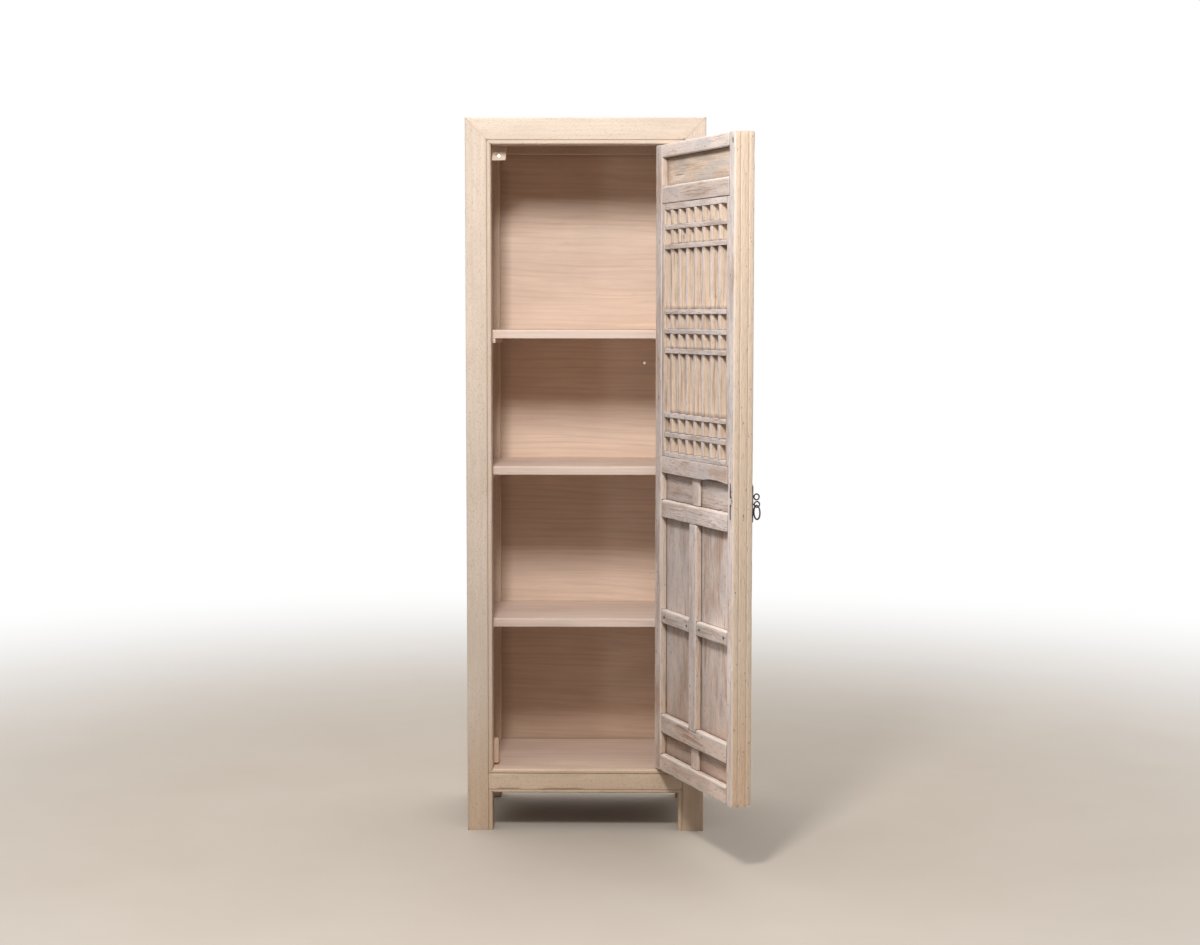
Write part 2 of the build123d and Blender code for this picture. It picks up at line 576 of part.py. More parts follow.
with BuildPart() as door_stop_block:
    with BuildSketch(SIDE_START):
        low, high = OPEN_TOP - STOP_H, SIDE_TOP_RAIL_Z[0]
        left, right = -SIDE_RAIL_IN, -HALF_OPEN + STOP_W
        section = ((left, low), (right, low), (right, high), (left, high))
        outline(section, ((section[0], STOP_ROUND), (section[1], STOP_ROUND)))
    extrude(amount=-STOP_D)
    with BuildSketch(SIDE_START):
        with Locations(MAGNET_SPOT):
            Circle(MAGNET_R + FIT)
    extrude(amount=-MAGNET_T, mode=Mode.SUBTRACT)
finish(door_stop_block, "door_stop_block")

with BuildPart() as catch_magnet:
    with BuildSketch(SIDE_START):
        with Locations(MAGNET_SPOT):
            Circle(MAGNET_R)
    extrude(amount=-MAGNET_T)
finish(catch_magnet, "catch_magnet")

with BuildPart() as door_stop_strip:
    with BuildSketch(SIDE_START):
        low, high = STRIP_Z
        right = -HALF_OPEN + STRIP_REACH
        left = right - STRIP_W
        section = ((left, low), (right, low), (right, high), (left, high))
        outline(section, ((section[1], BACK_ROUND), (section[2], STRIP_ROUND)))
    extrude(amount=-STRIP_D)
finish(door_stop_strip, "door_stop_strip")


# ---------------------------------------------------------------- door stiles
def cut_stile_joints(mouth_u, root_u):
    """Mortises for the rails and grooves for the panels, cut in from the stile's mouth."""
    for low, high in RAILS.values():
        pocket((mouth_u, root_u), TONGUE_D, (low + TENON_SHOULDER, high - TENON_SHOULDER))
    groove_u = mouth_u + math.copysign(PANEL_TONGUE, root_u - mouth_u)
    for low, high in PANEL_RUNS:
        pocket((mouth_u, groove_u), TONGUE_D, (low - PANEL_TONGUE, high + PANEL_TONGUE))


with BuildPart(LEAF) as hinge_stile:
    with BuildSketch(LEAF):
        section = ((0, 0), (HINGE_STILE_W, 0), (HINGE_STILE_W, DOOR_T), (0, DOOR_T))
        radii = (BACK_ROUND, ROUND, BACK_ROUND, HINGE_ROUND)
        outline(section, tuple(zip(section, radii)))
    extrude(amount=DOOR_H)
    cut_stile_joints(OPEN_U[0], TENON_U[0])
    # pintles on both ends, which turn in sockets in the top and low rails
    pintle = (PIVOT_IN, DOOR_T - PIVOT_BACK)
    foot_v = LOW_RAIL_TOP - PINTLE_SEAT - DOOR_BOTTOM
    head_v = OPEN_TOP + PINTLE_SEAT - DOOR_BOTTOM
    for low, high in ((foot_v, 0.0), (DOOR_H, head_v)):
        with Locations((*pintle, low)):
            Cylinder(PINTLE_R, high - low, align=(Align.CENTER, Align.CENTER, Align.MIN))
finish(hinge_stile, "door_hinge_stile")

with BuildPart(LEAF) as free_stile:
    with BuildSketch(LEAF):
        inner_face = [(OPEN_U[1], 0), (LEAF_W, 0)]
        outer_face = [(LEAF_W, DOOR_T), (OPEN_U[1], DOOR_T)]
        # two fine grooves run down the edge of the leaf
        edge = []
        for depth in EDGE_GROOVES:
            edge.append((LEAF_W, depth - EDGE_GROOVE))
            edge.append((LEAF_W - EDGE_GROOVE, depth))
            edge.append((LEAF_W, depth + EDGE_GROOVE))
        corners = inner_face + outer_face
        radii = (ROUND, ARRIS, ARRIS, BACK_ROUND)
        outline(inner_face + edge + outer_face, tuple(zip(corners, radii)))
    extrude(amount=DOOR_H)
    cut_stile_joints(OPEN_U[1], TENON_U[1])
    with BuildSketch(FACE):
        with Locations(*[(PULL_U, v) for v in EYE_V.values()]):
            Circle(EYE_WIRE_R + FIT)
    extrude(amount=-DOOR_T, mode=Mode.SUBTRACT)
    with BuildSketch(FACE):
        with Locations(STRIKE):
            Circle(MAGNET_R + FIT)
    extrude(amount=-STRIKE_T, mode=Mode.SUBTRACT)
    # empty hole left by an earlier lock
    with BuildSketch(FACE):
        with Locations((LEAF_W - LOCK_HOLE[0], LOCK_HOLE[1])):
            Circle(LOCK_HOLE_R)
    extrude(amount=-LOCK_HOLE_D, mode=Mode.SUBTRACT)
finish(free_stile, "door_free_stile")

with BuildPart() as catch_strike:
    with BuildSketch(FACE):
        with Locations(STRIKE):
            Circle(MAGNET_R)
    extrude(amount=-STRIKE_T)
finish(catch_strike, "catch_strike")


# ---------------------------------------------------------------- door rails
def joint_rail(low, high):
    """Tenons of a rail, the grooves for the panels beside it and mortises for its muntins."""
    slab(TENON_U, TONGUE_D, (low + TENON_SHOULDER, high - TENON_SHOULDER))
    for panel_u, (panel_low, panel_high) in PANELS.values():
        tongue_u = (panel_u[0] - PANEL_TONGUE, panel_u[1] + PANEL_TONGUE)
        if panel_low == high:
            pocket(tongue_u, TONGUE_D, (high - PANEL_TONGUE, high))
        if panel_high == low:
            pocket(tongue_u, TONGUE_D, (low, low + PANEL_TONGUE))
    for muntin_d, (foot, head), (foot_tenon, head_tenon) in MUNTINS.values():
        if low < foot <= high:
            pocket(MUNTIN_TENON_U, TONGUE_D, (foot - foot_tenon, high))
            slab(MUNTIN_U, muntin_d, (foot, high + FIT), Mode.SUBTRACT)
        if head == low:
            pocket(MUNTIN_TENON_U, TONGUE_D, (low, head + head_tenon))


for name, (low_round, high_round) in RAIL_ROUNDS.items():
    low, high = RAILS[name]
    with BuildPart(LEAF) as rail:
        with BuildSketch(across_at(OPEN_U[0])):
            section = ((0, low), (RAIL_D, low), (RAIL_D, high), (0, high))
            outline(section, ((section[0], low_round), (section[3], high_round)))
        extrude(amount=OPEN_U[1] - OPEN_U[0])
        joint_rail(low, high)
    finish(rail, name)

# The rail under the lattice is hollowed a little along its lower edge.
with BuildPart(LEAF) as lattice_rail:
    low, high = RAILS["door_lattice_rail"]
    with BuildSketch(FACE):
        with BuildLine():
            arch = [(u, low + rise) for u, rise in ARCH]
            start, end = OPEN_U
            Polyline(arch[0], (start, low), (start, high), (end, high), (end, low), arch[2])
            ThreePointArc(*arch)
        make_face()
    extrude(amount=-RAIL_D)
    joint_rail(low, high)
finish(lattice_rail, "door_lattice_rail")

# ---------------------------------------------------------------- door muntins
for name, (depth, (low, high), (foot_tenon, head_tenon)) in MUNTINS.items():
    with BuildPart(LEAF) as muntin:
        with BuildSketch(LEAF.offset(low)):
            start, end = MUNTIN_U
            section = ((start, depth[0]), (end, depth[0]), (end, depth[1]), (start, depth[1]))
            outline(section, ((section[0], MUNTIN_ROUND), (section[1], MUNTIN_ROUND)))
        extrude(amount=high - low)
        slab(MUNTIN_TENON_U, TONGUE_D, (low - foot_tenon, high + head_tenon))
        pocket((start, start + PANEL_TONGUE), TONGUE_D, (low, high))
        pocket((end - PANEL_TONGUE, end), TONGUE_D, (low, high))
    finish(muntin, name)

# ---------------------------------------------------------------- door panels
for name, ((start, end), (low, high)) in PANELS.items():
    with BuildPart(LEAF) as panel:
        u_span = (start - PANEL_TONGUE, end + PANEL_TONGUE)
        slab(u_span, TONGUE_D, (low - PANEL_TONGUE, high + PANEL_TONGUE))
        if (low, high) == TALL_V:
            with BuildSketch(FACE):
                with Locations(*NAIL_SPOTS):
                    Rectangle(NAIL_W + 2 * FIT, NAIL_W + 2 * FIT)
            extrude(amount=-(NAIL_L + FIT), mode=Mode.SUBTRACT)
    finish(panel, name)

# ---------------------------------------------------------------- nailed battens
for name, ((start, end), base, nails) in BATTENS.items():
    with BuildPart(LEAF) as batten:
        with BuildSketch(across_at(start + BATTEN_PLAY)):
            top = base + BATTEN_H
            section = ((0, base), (PANEL_DEPTH, base), (PANEL_DEPTH, top), (0, top))
            outline(section, ((section[0], FINE_ARRIS), (section[3], ROUND)))
        extrude(amount=end - start - 2 * BATTEN_PLAY)
        with BuildSketch(FACE):
            with Locations(*nails):
                Rectangle(NAIL_W + 2 * FIT, NAIL_W + 2 * FIT)
        extrude(amount=-PANEL_DEPTH, mode=Mode.SUBTRACT)
    finish(batten, name)

with BuildPart() as batten_nails:
    with BuildSketch(FACE):
        with Locations(*NAIL_SPOTS):
            RegularPolygon(NAIL_HEAD_R, NAIL_HEAD_SIDES)
    extrude(amount=NAIL_HEAD_T)
    with BuildSketch(FACE):
        with Locations(*NAIL_SPOTS):
            Rectangle(NAIL_W, NAIL_W)
    extrude(amount=-NAIL_L)
finish(batten_nails, "batten_nails")

# ---------------------------------------------------------------- lattice
for name, (start, end), mouth, root in (
    ("lattice_side_hinge_side", (OPEN_U[0], LATTICE_U[0]), LATTICE_U[0], LATTICE_TENON_U[0]),
    ("lattice_side_free_side", (LATTICE_U[1], OPEN_U[1]), LATTICE_U[1], LATTICE_TENON_U[1]),
):
    with BuildPart(LEAF) as lattice_side:
        slab((start, end), LATTICE_D, LATTICE_V)
        for tenon_v in [bar_tenon(v) for v in CROSSBARS] + [SILL_TENON_V, HEAD_TENON_V]:
            pocket((root, mouth), BAR_TENON_D, tenon_v)
    finish(lattice_side, name)

for name, (low, high), tenon_v, mouth, root in (
    ("lattice_head", (LATTICE_TOP, LATTICE_V[1]), HEAD_TENON_V, LATTICE_TOP, LATTICE_TENON_V[1]),
    ("lattice_sill", (LATTICE_V[0], LATTICE_BOTTOM), SILL_TENON_V, LATTICE_BOTTOM, LATTICE_TENON_V[0]),
):
    with BuildPart(LEAF) as lattice_end:
        slab(LATTICE_U, LATTICE_D, (low, high))
        slab(LATTICE_TENON_U, BAR_TENON_D, tenon_v)
        for u in UPRIGHTS:
            pocket(bar_tenon(u), BAR_TENON_D, (mouth, root))
    finish(lattice_end, name)

# Half laps: an upright loses its inner half at each crossing, a crossbar its outer half.
with BuildPart(LEAF) as lattice_uprights:
    for u in UPRIGHTS:
        slab((u, u + BAR_W), LATTICE_D, (LATTICE_BOTTOM, LATTICE_TOP))
        slab(bar_tenon(u), BAR_TENON_D, LATTICE_TENON_V)
    for v in CROSSBARS:
        pocket(LATTICE_U, (LATTICE_D[0], LAP_D), (v, v + BAR_W))
finish(lattice_uprights, "lattice_uprights")

with BuildPart(LEAF) as lattice_crossbars:
    for v in CROSSBARS:
        slab(LATTICE_U, LATTICE_D, (v, v + BAR_W))
        slab(LATTICE_TENON_U, BAR_TENON_D, bar_tenon(v))
    for u in UPRIGHTS:
        slab((u - FIT, u + BAR_W + FIT), (LAP_D, LATTICE_D[1]), LATTICE_V, Mode.SUBTRACT)
finish(lattice_crossbars, "lattice_crossbars")

# ---------------------------------------------------------------- ring pull
outer_face_origin = LEAF.from_local_coords(Vector(PULL_U, DOOR_T, 0))
OUTER_FACE = Plane(origin=outer_face_origin, x_dir=-across, z_dir=outward)

with BuildPart() as pull_plate:
    with BuildSketch(OUTER_FACE):
        with Locations((0, PLATE_V)):
            Rectangle(PLATE_W, PLATE_H)
            with GridLocations(PLATE_W, PLATE_H, 2, 2):
                Circle(PLATE_NOTCH_R, mode=Mode.SUBTRACT)
        with Locations(*[(0, v) for v in EYE_V.values()]):
            Circle(EYE_WIRE_R + FIT, mode=Mode.SUBTRACT)
    extrude(amount=PLATE_T)
finish(pull_plate, "pull_plate")

# Forged wire: eight-sided, closed round into the eye of each pin and into the ring.
# The eyes stand across the leaf's thickness.
for name, v in EYE_V.items():
    eye_d = DOOR_T + EYE_REACH[name]
    neck_d = eye_d - EYE_R
    eye = forged_loop((PULL_U, eye_d, v), (1, 0, 0), EYE_R, EYE_WIRE_R, EYE_RUNS)
    with BuildPart(LEAF) as cotter_pin:
        add(eye)
        with BuildSketch(FACE.offset(-neck_d)):
            with Locations((PULL_U, v)):
                RegularPolygon(EYE_WIRE_R, FORGED_SIDES)
        extrude(amount=neck_d + EYE_WIRE_R)
        # legs hammered flat against the inner face
        tail_v = tuple(sorted((v, v + CLENCH[name])))
        slab((PULL_U - EYE_WIRE_R, PULL_U + EYE_WIRE_R), (-EYE_WIRE_R, 0), tail_v)
    finish(cotter_pin, f"{name}_cotter_pin")

# The ring hangs in the lower eye, parallel to the leaf.
ring_top_v = EYE_V["lower"] - EYE_R + EYE_WIRE_R + RING_WIRE_R + RING_PLAY
ring_centre = (PULL_U, DOOR_T + EYE_REACH["lower"], ring_top_v - RING_R)
with BuildPart(LEAF) as pull_ring:
    add(forged_loop(ring_centre, (0, 1, 0), RING_R, RING_WIRE_R, RING_RUNS))
finish(pull_ring, "pull_ring")
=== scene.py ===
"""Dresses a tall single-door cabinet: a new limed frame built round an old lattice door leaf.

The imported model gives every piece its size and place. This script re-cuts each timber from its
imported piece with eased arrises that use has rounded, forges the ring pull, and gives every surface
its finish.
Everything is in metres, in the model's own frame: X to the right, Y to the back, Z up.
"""

import json
import logging
import math
from dataclasses import dataclass, field, replace
from enum import Enum
from typing import Iterable, Optional, Sequence, Union

import bmesh
import bpy
import numpy as np
from mathutils import Matrix, Vector, noise
from mathutils.bvhtree import BVHTree


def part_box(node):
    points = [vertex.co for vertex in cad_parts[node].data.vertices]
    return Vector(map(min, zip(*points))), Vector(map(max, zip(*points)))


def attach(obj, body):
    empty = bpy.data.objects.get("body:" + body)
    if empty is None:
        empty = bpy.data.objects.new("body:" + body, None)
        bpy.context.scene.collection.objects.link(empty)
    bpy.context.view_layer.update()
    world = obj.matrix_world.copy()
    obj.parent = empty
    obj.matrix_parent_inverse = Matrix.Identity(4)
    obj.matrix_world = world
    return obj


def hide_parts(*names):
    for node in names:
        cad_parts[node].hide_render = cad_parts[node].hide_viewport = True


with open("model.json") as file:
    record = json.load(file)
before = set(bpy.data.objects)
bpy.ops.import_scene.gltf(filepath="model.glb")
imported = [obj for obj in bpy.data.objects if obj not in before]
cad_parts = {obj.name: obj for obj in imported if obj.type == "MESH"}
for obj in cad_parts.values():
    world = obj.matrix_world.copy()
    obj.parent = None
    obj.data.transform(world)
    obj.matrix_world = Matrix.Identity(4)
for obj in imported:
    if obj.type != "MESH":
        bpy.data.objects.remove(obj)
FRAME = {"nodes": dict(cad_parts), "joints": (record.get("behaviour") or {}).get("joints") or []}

LOG = logging.getLogger("cabinet")
MM = 0.001
WARP_SEED = 11  # without it, noise_vector takes its offsets from the clock
Triple = tuple[float, float, float]
Colour = Triple
Socket = bpy.types.NodeSocket
Value = Union[float, Colour, Socket]


# ---------------------------------------------------------------- where things are
class Grain(Enum):
    """Which way the fibres of a timber run, as an axis of the setting it belongs to."""

    ACROSS = 0
    DEEP = 1
    UPRIGHT = 2


@dataclass(frozen=True)
class Setting:
    """A set of axes that a group of timbers is square to.

    Attributes:
        name: short name used in the names of materials.
        origin: the point where the three axes meet.
        turn: rotation about the vertical, in radians, from the model's X to the setting's X.
    """

    name: str
    origin: Vector
    turn: float

    def to_model(self) -> Matrix:
        """Matrix from the setting's axes to the model's frame."""
        return Matrix.Translation(self.origin) @ Matrix.Rotation(self.turn, 4, "Z")

    def point(self, across: float, deep: float, up: float) -> Vector:
        """A point of the model's frame from its millimetres along the setting's axes."""
        return self.to_model() @ (Vector((across, deep, up)) * MM)


@dataclass(frozen=True)
class DoorGeometry:
    """How the open leaf stands, in millimetres and degrees.

    Attributes:
        opening: how far the leaf stands open from closed.
        pivot_in: from the leaf's hinge edge to its pintles.
        pivot_out: from the leaf's inner face to its pintles.
        bottom: height of the leaf's lower end above the floor.
        thickness: thickness of the stiles.
        pull_across: from the hinge edge to the middle of the pull.
    """

    opening: float = 112.0
    pivot_in: float = 15.0
    pivot_out: float = 40.0
    bottom: float = 162.5
    thickness: float = 51.0
    pull_across: float = 452.0

    def setting(self, pivot: Sequence[float]) -> Setting:
        """The leaf's own axes: across from its hinge edge, deep from its inner face, and up.

        Args:
            pivot: a point on the pintles' axis, in metres.

        Returns:
            The setting that every timber of the leaf is square to.
        """
        turn = -math.radians(180.0 - self.opening)
        corner = Matrix.Rotation(turn, 4, "Z") @ Vector((self.pivot_in * MM, self.pivot_out * MM, 0))
        origin = Vector((pivot[0] - corner.x, pivot[1] - corner.y, self.bottom * MM))
        return Setting("leaf", origin, turn)


# ---------------------------------------------------------------- shading
@dataclass(frozen=True)
class Layer:
    """Soft random values that run longer along the grain than across it.

    Attributes:
        across: features to a metre across the grain.
        along: features to a metre along it.
        detail: how many finer layers lie over the first.
        rough: how strong the finer layers are.
    """

    across: float
    along: float
    detail: float = 2.0
    rough: float = 0.6


FIBRE = Layer(520.0, 9.0, 4.0, 0.7)
BLOTCH = Layer(9.0, 3.0, 3.0)
PATCHES = Layer(70.0, 18.0, 3.0)
RIPPLE_GAPS = Layer(30.0, 3.0)
WASH_COVER = Layer(26.0, 5.0, 4.0, 0.65)
WASH_STREAK = Layer(230.0, 8.0, 4.0, 0.7)
GREYING = Layer(24.0, 8.0)
STAINING = Layer(14.0, 4.0, 4.0, 0.65)
FLANK_STREAK = Layer(240.0, 7.0, 4.0, 0.7)
KNOCKS = Layer(150.0, 70.0, 1.0, 0.5)


class Nodes:
    """A node tree under construction, with short calls for the nodes that the finishes share."""

    def __init__(self, tree: bpy.types.NodeTree) -> None:
        """Start with an empty tree."""
        self.tree = tree
        self.tree.nodes.clear()

    def node(self, kind: str, **settings: object) -> bpy.types.Node:
        """Add a node and set its own properties.

        Args:
            kind: its type, without the words that every shading node starts with.
            **settings: its own properties.

        Returns:
            The node.
        """
        made = self.tree.nodes.new(f"ShaderNode{kind}")
        for key, value in settings.items():
            setattr(made, key, value)
        return made

    def feed(self, socket: Socket, value: Value) -> None:
        """Link a socket, or set its value, where the value isn't another socket.

        Args:
            socket: input that is fed.
            value: another socket, a number, a vector or a colour.
        """
        if isinstance(value, bpy.types.NodeSocket):
            self.tree.links.new(value, socket)
        elif isinstance(value, tuple) and socket.type == "RGBA":
            socket.default_value = (*value, 1.0)
        else:
            socket.default_value = value

    def math(self, operation: str, first: Value, second: Value = 0.0, clamp: bool = False) -> Socket:
        """One arithmetic step on two values.

        Args:
            operation: name of the step.
            first: first value.
            second: second value.
            clamp: whether the result is kept between 0 and 1.

        Returns:
            The result.
        """
        made = self.node("Math", operation=operation, use_clamp=clamp)
        self.feed(made.inputs[0], first)
        self.feed(made.inputs[1], second)
        return made.outputs[0]

    def times(self, first: Value, second: Value, clamp: bool = False) -> Socket:
        """The product of two values."""
        return self.math("MULTIPLY", first, second, clamp)

    def rest(self, value: Value, clamp: bool = False) -> Socket:
        """What a value leaves of 1."""
        return self.math("SUBTRACT", 1.0, value, clamp)

    def vector(self, operation: str, first: Value, second: Value) -> Socket:
        """One step on two vectors, or on a vector and the number that scales it.

        Args:
            operation: name of the step.
            first: first vector.
            second: second vector, or the number for the step SCALE.

        Returns:
            The result.
        """
        made = self.node("VectorMath", operation=operation)
        self.feed(made.inputs[0], first)
        self.feed(made.inputs["Scale" if operation == "SCALE" else 1], second)
        return made.outputs["Vector"]

    def noise(self, place: Socket, layer: Layer) -> Socket:
        """The soft random values of a layer.

        Args:
            place: a point, with the grain along its third axis.
            layer: sizes of the values.

        Returns:
            The value at that point, from 0 to 1.
        """
        made = self.node("TexNoise", noise_dimensions="3D")
        stretch = (layer.across, layer.across, layer.along)
        self.feed(made.inputs["Vector"], self.vector("MULTIPLY", place, stretch))
        for key, number in (("Scale", 1.0), ("Detail", layer.detail), ("Roughness", layer.rough)):
            made.inputs[key].default_value = number
        return made.outputs["Fac"]

    def span(self, value: Socket, low: float, high: float, start: Value = 0.0, end: Value = 1.0,
             eased: bool = True) -> Socket:
        """Carry a value from start to end as it goes from low to high.

        Args:
            value: the value.
            low: where it starts.
            high: where it ends.
            start: the result up to there.
            end: the result from there on.
            eased: whether the result eases in and out, or runs straight.

        Returns:
            The result.
        """
        made = self.node("MapRange", interpolation_type="SMOOTHSTEP" if eased else "LINEAR")
        keys = ("Value", "From Min", "From Max", "To Min", "To Max")
        for key, number in zip(keys, (value, low, high, start, end)):
            self.feed(made.inputs[key], number)
        return made.outputs["Result"]

    def mix(self, factor: Value, first: Value, second: Value, blend: str = "MIX") -> Socket:
        """Mix two colours.

        Args:
            factor: how much of the second one shows.
            first: first colour.
            second: second colour.
            blend: how the second one goes over the first.

        Returns:
            The mixed colour.
        """
        made = self.node("Mix", data_type="RGBA", blend_type=blend)
        self.feed(made.inputs["Factor"], factor)
        self.feed(made.inputs[6], first)
        self.feed(made.inputs[7], second)
        return made.outputs[2]

    def contour(self, value: Socket, width: float) -> Socket:
        """Thin lines where a soft value passes its middle, from 0 beside them to 1 on them."""
        away = self.math("ABSOLUTE", self.math("SUBTRACT", value, 0.5))
        return self.span(away, 0.0, width, 1.0, 0.0)

    def brighten(self, colour: Socket, factor: Socket) -> Socket:
        """Multiply a colour by a number."""
        return self.mix(1.0, colour, self.join((factor, factor, factor)), "MULTIPLY")

    def attribute(self, name: str) -> Socket:
        """A number that the mesh carries at each point."""
        return self.node("Attribute", attribute_type="GEOMETRY", attribute_name=name).outputs["Fac"]

    def along(self, setting: Setting, kind: str) -> bpy.types.Node:
        """A node that turns the shaded point, or the surface's normal, to a setting's axes.

        Args:
            setting: the axes.
            kind: Object for the point, or Normal for the normal.

        Returns:
            The mapping node.
        """
        mapping = self.node("Mapping", vector_type="POINT" if kind == "Object" else "VECTOR")
        self.feed(mapping.inputs["Vector"], self.node("TexCoord").outputs[kind])
        mapping.inputs["Rotation"].default_value = (0.0, 0.0, -setting.turn)
        return mapping

    def place(self, setting: Setting) -> Socket:
        """The point being shaded, along a setting's axes."""
        mapping = self.along(setting, "Object")
        mapping.inputs["Location"].default_value = setting.to_model().inverted().translation
        return mapping.outputs["Vector"]

    def facing(self, setting: Setting) -> Socket:
        """The surface's normal, along a setting's axes."""
        return self.along(setting, "Normal").outputs["Vector"]

    def split(self, vector: Socket) -> list[Socket]:
        """The three parts of a vector."""
        made = self.node("SeparateXYZ")
        self.feed(made.inputs[0], vector)
        return list(made.outputs)

    def join(self, parts: Sequence[Value]) -> Socket:
        """A vector from its three parts.

        Args:
            parts: numbers or sockets.

        Returns:
            The vector.
        """
        made = self.node("CombineXYZ")
        for socket, part in zip(made.inputs, parts):
            self.feed(socket, part)
        return made.outputs[0]

    def seen(self) -> Socket:
        """A value that is 1 for what the camera sees, also in metal and glass, and 0 for light."""
        path = self.node("LightPath")
        value = path.outputs["Is Camera Ray"]
        for name in ("Is Glossy Ray", "Is Transmission Ray"):
            value = self.math("MAXIMUM", value, path.outputs[name])
        return value


class Shader(Nodes):
    """A material under construction."""

    def __init__(self, name: str) -> None:
        """Start an empty material."""
        self.material = bpy.data.materials.new(name)
        self.material.use_nodes = True
        super().__init__(self.material.node_tree)

    def finish(self, colour: Value, roughness: Value, height: Socket, relief: float,
               metallic: float = 0.0, gloss: float = 0.5) -> bpy.types.Material:
        """Join colour, roughness and height in one surface.

        Args:
            colour: base colour.
            roughness: roughness, from 0 to 1.
            height: relief of the surface, from 0 to 1.
            relief: depth of that relief, in metres.
            metallic: 1 for bare metal.
            gloss: strength of the surface's reflections, 0.5 for a clean one.

        Returns:
            The finished material.
        """
        bump = self.node("Bump")
        for key, value in (("Strength", 1.0), ("Distance", relief), ("Height", height)):
            self.feed(bump.inputs[key], value)
        surface = self.node("BsdfPrincipled")
        for key, value in (("Base Color", colour), ("Roughness", roughness), ("Metallic", metallic),
                           ("Specular IOR Level", gloss), ("Normal", bump.outputs["Normal"])):
            self.feed(surface.inputs[key], value)
        self.feed(self.node("OutputMaterial").inputs["Surface"], surface.outputs[0])
        return self.material


@dataclass(frozen=True)
class TimberFinish:
    """How a kind of wood looks: its colours, its figure and its wear.

    Attributes:
        name: name of the finish.
        pale: colour between the growth bands.
        band: colour of the growth bands.
        fleck: colour of the pores.
        worn_and_highlight: colour of arrises marked by use; where it is paler than the wood, as on the
            old leaf, it is also a painted highlight.
        stain: colour of broad stains.
        wash: colour of old pigment on the surface, where it has some.
        chill: colour of that pigment where it has greyed.
        flank: colour of a leaf timber's face towards the free edge.
        foot: what the colour is multiplied by near the floor, so that it is darker towards the bottom.
        bands: growth bands to a metre, across the grain.
        band_depth: how strongly the bands show.
        line_depth: how strongly fine dark growth lines show.
        ripple: how strongly close, even growth lines show.
        fleck_depth: how strongly the pores show.
        fleck_size: pores to a metre, across the grain and along it.
        wash_share: how much of the surface the wash covers.
        flank_streaks: how strongly the flank is streaked.
        stain_depth: how strongly the stains show.
        wear: how strongly arrises are marked by use and, with a pale arris colour, given a painted
            highlight.
        grime_and_shade: how strongly quirks, corners and the borders of panels are darkened, by soiling
            and by painted shade.
        specks: how strongly small dark knocks and nail holes show.
        painted_free_side_light: painted light, how much lighter the lower half of a leaf's piece is
            made towards the free edge.
        seam: how strongly the joints between timbers are darkened.
        roughness: mean roughness.
        gloss: strength of reflections.
        relief: depth of the grain, in metres.
        label: name of its materials, where another finish has the same name.
    """

    name: str
    pale: Colour
    band: Colour
    fleck: Colour
    worn_and_highlight: Colour
    stain: Colour
    wash: Optional[Colour] = None
    chill: Colour = (0.66, 0.625, 0.62)
    flank: Optional[Colour] = None
    foot: Optional[Colour] = None
    bands: float = 90.0
    band_depth: float = 0.6
    line_depth: float = 0.2
    ripple: float = 0.0
    fleck_depth: float = 0.4
    fleck_size: tuple[float, float] = (900.0, 140.0)
    wash_share: float = 0.0
    flank_streaks: float = 0.3
    stain_depth: float = 0.2
    wear: float = 0.5
    grime_and_shade: float = 0.5
    specks: float = 0.0
    painted_free_side_light: float = 0.0
    seam: float = 0.7
    roughness: float = 0.62
    gloss: float = 0.25
    relief: float = 0.0003
    label: str = ""

    def material(self, setting: Setting, grain: Grain) -> bpy.types.Material:
        """The finish as a material, with its fibres along one axis of a setting.

        Args:
            setting: axes that the timber is square to.
            grain: axis that the fibres run along.

        Returns:
            The material, made once for each setting and grain.
        """
        name = f"{self.label or self.name}_{setting.name}_{grain.name.lower()}"
        if name in bpy.data.materials:
            return bpy.data.materials[name]
        return TimberShader(name, self, setting, grain).build()


